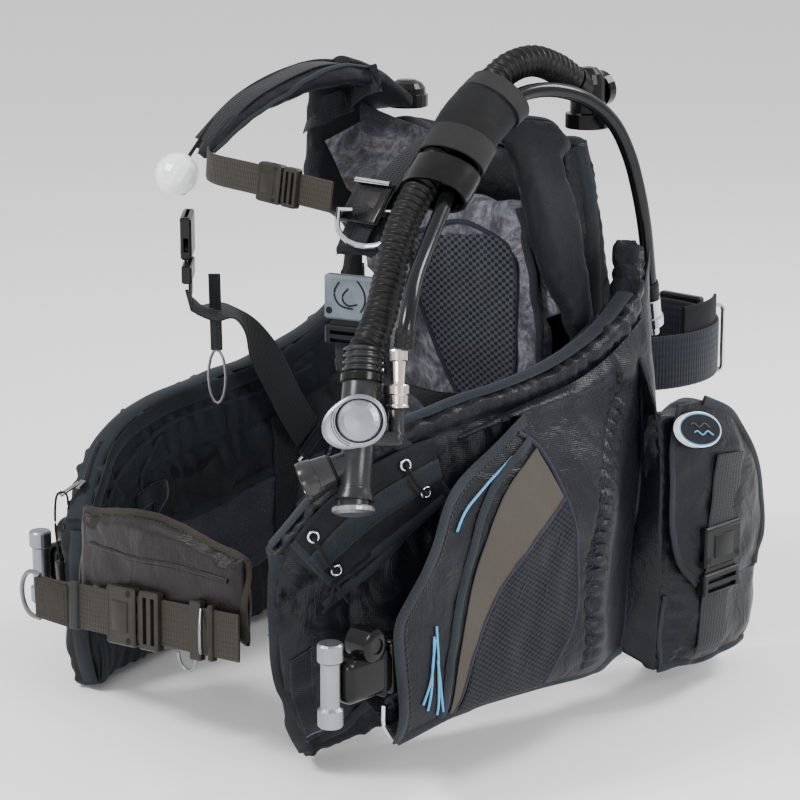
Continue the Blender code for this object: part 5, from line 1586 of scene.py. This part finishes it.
# ------------------------------------------------------------------ shoulders, back and small cords
def upper_parts():
    pad = Cover(COVER["pad"])
    out = Vector((0.1, -1, 0.15)).normalized()
    low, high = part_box("back_pad")
    mid_x = (low.x + high.x) / 2

    def on_pad(fx, fz):
        return Vector((mid_x + fx * (high.x - low.x) / 2, low.y, low.z + (high.z - low.z) * fz))

    left = [on_pad(*p) for p in ((-0.55, 0.86), (-0.50, 0.74), (-0.36, 0.62), (-0.10, 0.46), (0.16, 0.36))]
    right = [on_pad(*p) for p in ((0.40, 0.90), (0.60, 0.86), (0.66, 0.74), (0.62, 0.56), (0.48, 0.40))]
    patch("hex_panel", left, right, out, pad, "hex", lift=0.0010, thick=0.0010, taut=4, wrinkle=0.0016)
    both = Cover(COVER["pad"], bpy.data.objects["hex_panel"])
    for k, line in enumerate((left, right, [left[0], on_pad(0.0, 0.92), right[0]],
                              [left[-1], on_pad(0.34, 0.35), right[-1]])):
        binding("hex_edge_%d" % k, line, out, both, 0.0045, 0.0013, "piping")
    edge = [on_pad(*p) for p in ((0.66, 0.02), (0.93, 0.25), (0.985, 0.5), (0.93, 0.75), (0.68, 0.98))]
    binding("pad_edge_left", edge, out, pad, 0.009, 0.0018)
    edge = [on_pad(*p) for p in ((-0.66, 0.02), (-0.93, 0.25), (-0.985, 0.5), (-0.93, 0.75), (-0.68, 0.98))]
    binding("pad_edge_right", edge, out, pad, 0.009, 0.0018)
    back = Cover(COVER["back"])
    low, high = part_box("jacket_back")
    line = [Vector((x, 0.066, high.z)) for x in (-0.108, -0.07, -0.03, 0.03, 0.07, 0.108)]
    binding("back_top_edge", line, UP, back, 0.020, 0.0020)
    for sign, word in ((1, "left"), (-1, "right")):
        line = [Vector((sign * x, 0.062, z)) for x, z in ((0.112, 0.462), (0.132, 0.42), (0.139, 0.36),
                                                          (0.140, 0.30))]
        binding("back_side_edge_" + word, line, (sign, -0.45, 0), back, 0.014, 0.0018)

    # yoke between the pad and the right shoulder, and the one behind the hose
    for sign, word, top_z in ((-1, "right", 0.470), (1, "left", 0.462)):
        outer = [Vector((sign * x, y, z)) for x, y, z in ((0.128, 0.046, 0.330), (0.128, 0.044, 0.37),
                                                          (0.124, 0.032, 0.42), (0.112, 0.016, top_z + 0.02))]
        inner = [Vector((sign * x, y, z)) for x, y, z in ((0.060, 0.050, 0.30), (0.062, 0.052, 0.35),
                                                          (0.058, 0.053, 0.40), (0.050, 0.050, top_z - 0.008))]
        mid = [a.lerp(b, 0.5) + Vector((0, -0.006, 0)) for a, b in zip(outer, inner)]
        loft("yoke_" + word, [outer, mid, inner], "mottled", across=30, down=18, wrinkle=0.0024)
    right_shoulder()
    left_shoulder()
    inflator_face()
    pull_cords()


RIGHT_SHOULDER = [
    (-0.094, 0.078, 0.480), (-0.095, 0.050, 0.505), (-0.098, 0.015, 0.514), (-0.100, -0.025, 0.510),
    (-0.102, -0.066, 0.498), (-0.106, -0.098, 0.479), (-0.110, -0.122, 0.454)]
LEFT_SHOULDER = [
    (0.092, 0.080, 0.466), (0.093, 0.052, 0.484), (0.092, 0.012, 0.488), (0.090, -0.036, 0.477),
    (0.088, -0.082, 0.456), (0.086, -0.116, 0.428), (0.085, -0.136, 0.396)]


def right_shoulder():
    cover = Cover(COVER["shoulder_right"])
    for k, off in enumerate((0.0200, -0.0200)):
        line = [at(*p) + Vector((off, 0, 0)) for p in RIGHT_SHOULDER]
        binding("right_strap_edge_%d" % k, line, UP, cover, 0.0075, 0.0020, "gloss_plastic" if k else "binding")
    line = [at(x, y, z + 0.008) for x, y, z in RIGHT_SHOULDER[2:]]
    placed = settle(even(line, 0.004), Vector((0, -0.3, 1)), cover, 0.0012)
    strap("right_strap_web", placed, Vector((1, 0, 0)), 0.026, 0.0016, "web_dark")
    tri_a = [Vector(p) for p in ((-0.128, -0.012, 0.452), (-0.130, 0.004, 0.430), (-0.131, 0.020, 0.405))]
    tri_b = [Vector(p) for p in ((-0.112, 0.030, 0.470), (-0.112, 0.032, 0.430), (-0.118, 0.034, 0.392))]
    patch("shoulder_print", tri_a, tri_b, (0.85, -0.5, 0.15), cover, "mottled", lift=0.0012, thick=0.0010)
    band = [Vector(p) for p in ((-0.132, -0.030, 0.470), (-0.118, -0.004, 0.482), (-0.105, 0.024, 0.496))]
    line = settle(even(band, 0.004), (0.8, -0.5, 0.35), cover, 0.0014)
    strap("shoulder_band", line, Vector((0.25, 0.35, 0.9)), 0.026, 0.0016, "web_dark")
    hump = [at(-0.112, 0.070, 0.490), at(-0.106, 0.052, 0.512), at(-0.100, 0.030, 0.520)]
    line = settle(even(hump, 0.004), UP, cover, 0.004)
    sweep("collar_hump", line, lambda i, n: ellipse(0.024 * math.sin(math.pi * (0.12 + 0.76 * i / (n - 1))),
                                                    0.0045, 16), "nylon_soft", ROOT, UP)


def left_shoulder():
    cover = Cover(COVER["shoulder_left"])
    for k, off in enumerate((0.0225, -0.0225)):
        line = [at(*p) + Vector((off, 0, 0)) for p in LEFT_SHOULDER]
        binding("left_strap_edge_%d" % k, line, Vector((0, -0.6, 0.8)), cover, 0.0080, 0.0020, "binding")
    line = [at(*p) for p in LEFT_SHOULDER[2:]]
    placed = settle(even(line, 0.004), Vector((0, -0.6, 0.8)), cover, 0.0014)
    strap("left_strap_web", placed, Vector((1, 0, 0)), 0.030, 0.0016, "web_dark")
    plate = frame_at(at(0.0880, -0.1220, 0.4330) + Vector((0, -0.006, 0.006)), (1, 0, 0), (0, -0.75, 0.6))
    lump("strap_plate", (0.040, 0.038, 0.0052), plate, "gloss_plastic", 0.0022)
    lump("strap_plate_window", (0.026, 0.016, 0.0058), plate @ Matrix.Translation((0, 0.002, 0.0004)),
         "satin", 0.0015)
    line = [plate @ Vector((-0.019 + 0.038 * i / 8, 0.0165, 0.0052)) for i in range(9)]
    cord("strap_bar", line, 0.0021, "steel", step=0.004, sides=12)
    hinge = at(0.0930, -0.1310, 0.4340)
    along = Vector((0.85, 0.52, 0)).normalized()
    line = [hinge + along * (-0.013 + 0.026 * i / 6) for i in range(7)]
    sweep("chest_ring_keeper", line, lambda i, n: circle(0.0048, 14), "web_dark", ROOT, Vector((0, 0, 1)))
    name = "shoulder_left_buckle"
    arcs = ([(-0.031, -0.010), (-0.022, -0.015), (-0.012, -0.010), (-0.010, 0.002)],
            [(-0.026, -0.002), (-0.019, -0.008), (-0.012, -0.003), (-0.014, 0.006)],
            [(-0.033, 0.006), (-0.025, 0.012), (-0.015, 0.013), (-0.008, 0.009)])
    face = Cover(NODES["shoulder_left_buckle_female"])
    out = clip_frame(name).to_3x3() @ Vector((0, 0, 1))
    for k, arc in enumerate(arcs):
        line = [on_buckle(name, x, y, 0.003) for x, y in arc]
        line = settle(even(line, 0.002), out, face, 0.0002)
        cord("plate_line_%d" % k, line, 0.0007, "cord_black", step=0.002, sides=6)


def inflator_face():
    """Smooth shell of the inflator, its teardrop cover and the boot's clamp."""
    top = at(0.1755, -0.2200, 0.3505)
    dish = sum(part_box("exhaust_button"), Vector()) / 2
    down = (dish - top).normalized()
    reach = (dish - top).length - 0.0071
    level = Vector((0.72, 0.69, 0.0))
    level = (level - down * level.dot(down)).normalized()
    face_out = Vector((0.67, -0.70, 0.24)).normalized()
    side_out = Vector((0.72, 0.69, 0.0)).normalized()
    line = frame_at(top, level, -down)
    profile = [(0.0, -0.0006), (0.0128, -0.0006)]
    for i in range(4):
        z = -0.0016 - 0.0052 * i
        profile += [(0.0152, z), (0.0158, z - 0.0006), (0.0158, z - 0.0020), (0.0152, z - 0.0026),
                    (0.0140, z - 0.0036), (0.0140, z - 0.0048)]
    profile += [(0.0146, -0.0230), (0.0150, -0.0500), (0.0150, -0.0620), (0.0140, -0.0690), (0.0124, -0.0745),
                (0.0120, -0.0900), (0.0122, 0.0110 - reach), (0.0134, 0.0060 - reach), (0.0150, 0.0020 - reach),
                (0.0152, -reach), (0.0130, -reach), (0.0128, 0.0090 - reach), (0.0, 0.0090 - reach)]
    stand_for(spin("inflator_shell", profile, line, "grey_plastic", sides=44), "inflator_body")
    face = frame_at(top + down * 0.0560, side_out, face_out)
    spin("inflator_housing", [(0.0, 0.0165), (0.0165, 0.0165), (0.0178, 0.0158), (0.0182, 0.0145),
                              (0.0182, -0.004), (0.0, -0.004)], face, "grey_plastic", sides=44)
    aim = (down * 0.45 - side_out).normalized()
    neck = frame_at(top + down * 0.0860, aim, face_out) @ Matrix.Rotation(math.pi / 2, 4, "Y")
    spin("inflator_neck", [(0.0, 0.0), (0.0096, 0.0), (0.0098, 0.0100), (0.0104, 0.0180), (0.0, 0.0180)], neck,
         "grey_plastic", sides=36)
    arm = frame_at(top + down * 0.0700 + side_out * 0.0150, side_out, face_out)
    lump("inflator_arm", (0.032, 0.012, 0.014), arm @ Matrix.Translation((0.002, 0, 0)), "grey_plastic", 0.0038,
         segments=5)
    nipple = frame_at(top + down * 0.0640 + side_out * 0.0280, side_out, -down)
    spin("inflator_nipple", [(0.0, -0.004), (0.0060, -0.004), (0.0062, 0.0145), (0.0056, 0.0158), (0.0, 0.0158)],
         nipple, "grey_plastic", sides=32)
    stem = frame_at(dish, level, -down)
    spin("exhaust_stem", [(0.0, -0.001), (0.0122, -0.001), (0.0122, 0.0100), (0.0, 0.0100)], stem, "grey_plastic",
         body="exhaust_button_body")
    centre = top + down * 0.0560 + face_out * 0.0150
    matrix = frame_at(centre, side_out, face_out)
    bm = bmesh.new()
    rows = []
    for grow, z in ((None, -0.004), (0.0, -0.004), (0.0, 0.0012), (-0.0014, 0.0026), (-0.0026, 0.0030),
                    (None, 0.0030)):
        row = []
        for j in range(40):
            a = 2 * math.pi * j / 40
            stretch = 1.0 + 0.42 * max(0.0, math.cos(a - math.radians(205))) ** 3
            if grow is None:
                spot = Vector((0.0180 * math.cos(a), 0.0166 * math.sin(a), z))
            else:
                r = (0.0206 + grow) * stretch
                spot = Vector((r * math.cos(a), 0.96 * r * math.sin(a), z))
            row.append(bm.verts.new(matrix @ spot))
        rows.append(row)
    tube(bm, rows + rows[:1], ends=False)
    finish_mesh("inflator_face_plate", bm, "silver", angle=40)
    for k, r in enumerate((0.0190, 0.0208)):
        line = [matrix @ Vector((r * math.cos(a), 0.96 * r * math.sin(a), 0.0027))
                for a in [math.radians(160 + 90 * i / 14) for i in range(15)]]
        cord("face_line_%d" % k, line, 0.0005, "grey_plastic", step=0.002, sides=6)
    band = frame_at(top + down * 0.0245, level, -down)
    spin("boot_clamp", [(0.0138, -0.0030), (0.0166, -0.0026), (0.0166, 0.0026), (0.0138, 0.0030)], band,
         "gloss_plastic")
    aim = (down * 0.45 - side_out).normalized()
    mouth = frame_at(top + down * 0.0860 + aim * 0.0185, aim, down)
    spin("mouth_lip", [(0.0125, 0.0), (0.0146, 0.0010), (0.0160, 0.0080), (0.0150, 0.0125), (0.0128, 0.0130),
                       (0.0120, 0.0100)], mouth @ Matrix.Translation((0.0135, 0, 0)) @ Matrix.Rotation(
                           math.pi / 2, 4, "Y"), "mouth_rubber")


def pull_cords():
    """Cord from the shoulder valve to its ball, and the one with a knob at the rear valve."""
    start = Vector((-0.112, 0.050, 0.486))
    path = [start] + [Vector((x - 0.012, y - 0.042, z + 0.012)) for x, y, z in RIGHT_SHOULDER[1:6]]
    ball = at(-0.1140, -0.1510, 0.4425)
    path.append(ball + Vector((0.12, 0.62, 0.77)).normalized() * 0.0170)
    obj, line = cord("shoulder_pull_cord", path, CORD, "cord_black", body=None, step=0.004)
    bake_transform(obj)
    low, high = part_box("rear_dump_valve")
    axis = Vector((0.25, 1, 0)).normalized()
    tip = (low + high) / 2 + axis * 0.0125
    end = tip + Vector((-0.004, 0.006, -0.045))
    line = [tip, tip + axis * 0.008 + Vector((0, 0, -0.006)), tip.lerp(end, 0.6) + axis * 0.006, end]
    knob = spin("rear_pull_knob", [(0.0, -0.008), (0.0045, -0.0075), (0.0060, -0.004), (0.0060, 0.003),
                                   (0.0035, 0.007), (0.0, 0.0076)], Matrix.Translation(end), "black_plastic")
    free_cord("rear_pull_cord", line, CORD)
    # webbing tab that the oval ring hangs from
    ring_at = at(-0.1300, -0.0960, 0.2800)
    way = Vector((0.72, 0.69, 0))
    top = Vector((-0.1180, -0.150, 0.352))
    line = [top, top.lerp(ring_at, 0.35), top.lerp(ring_at, 0.75), ring_at]
    strap("pull_tab", line, way, 0.0105, 0.0022, "web_grey", step=0.003)
    hang = at(-0.1592, 0.0475, 0.1645)
    along = Vector((0, 0.77, 0.64))
    line = [hang + along * (-0.018 + 0.036 * i / 6) for i in range(7)]
    sweep("strap_ring_keeper", line, lambda i, n: circle(0.0050, 14), "web_dark", ROOT, Vector((1, 0, 0)))
    hang = at(0.2020, -0.2120, 0.0760)
    along = Vector((-0.30, 0.95, 0)).normalized()
    line = [hang + along * (-0.014 + 0.028 * i / 6) for i in range(7)]
    sweep("hem_ring_keeper", line, lambda i, n: circle(0.0042, 14), "web_dark", ROOT, Vector((0, 0, 1)))


def floor():
    bpy.ops.mesh.primitive_plane_add(size=14, location=(0, 0, 0))
    ground = bpy.context.object
    ground.name = "floor"
    look = Look("floor_paint", (0.94, 0.94, 0.94), 0.9, spec=0.1)
    look.bump(look.noise(3.0), 0.02, 0.01)
    ground.data.materials.append(look.material)


camera_and_light()
make_materials()
hoses()
hose_wraps()
soft_pieces()
pocket_panels()
straps()
hardware()
clip_details()
left_side()
right_side()
upper_parts()
floor()
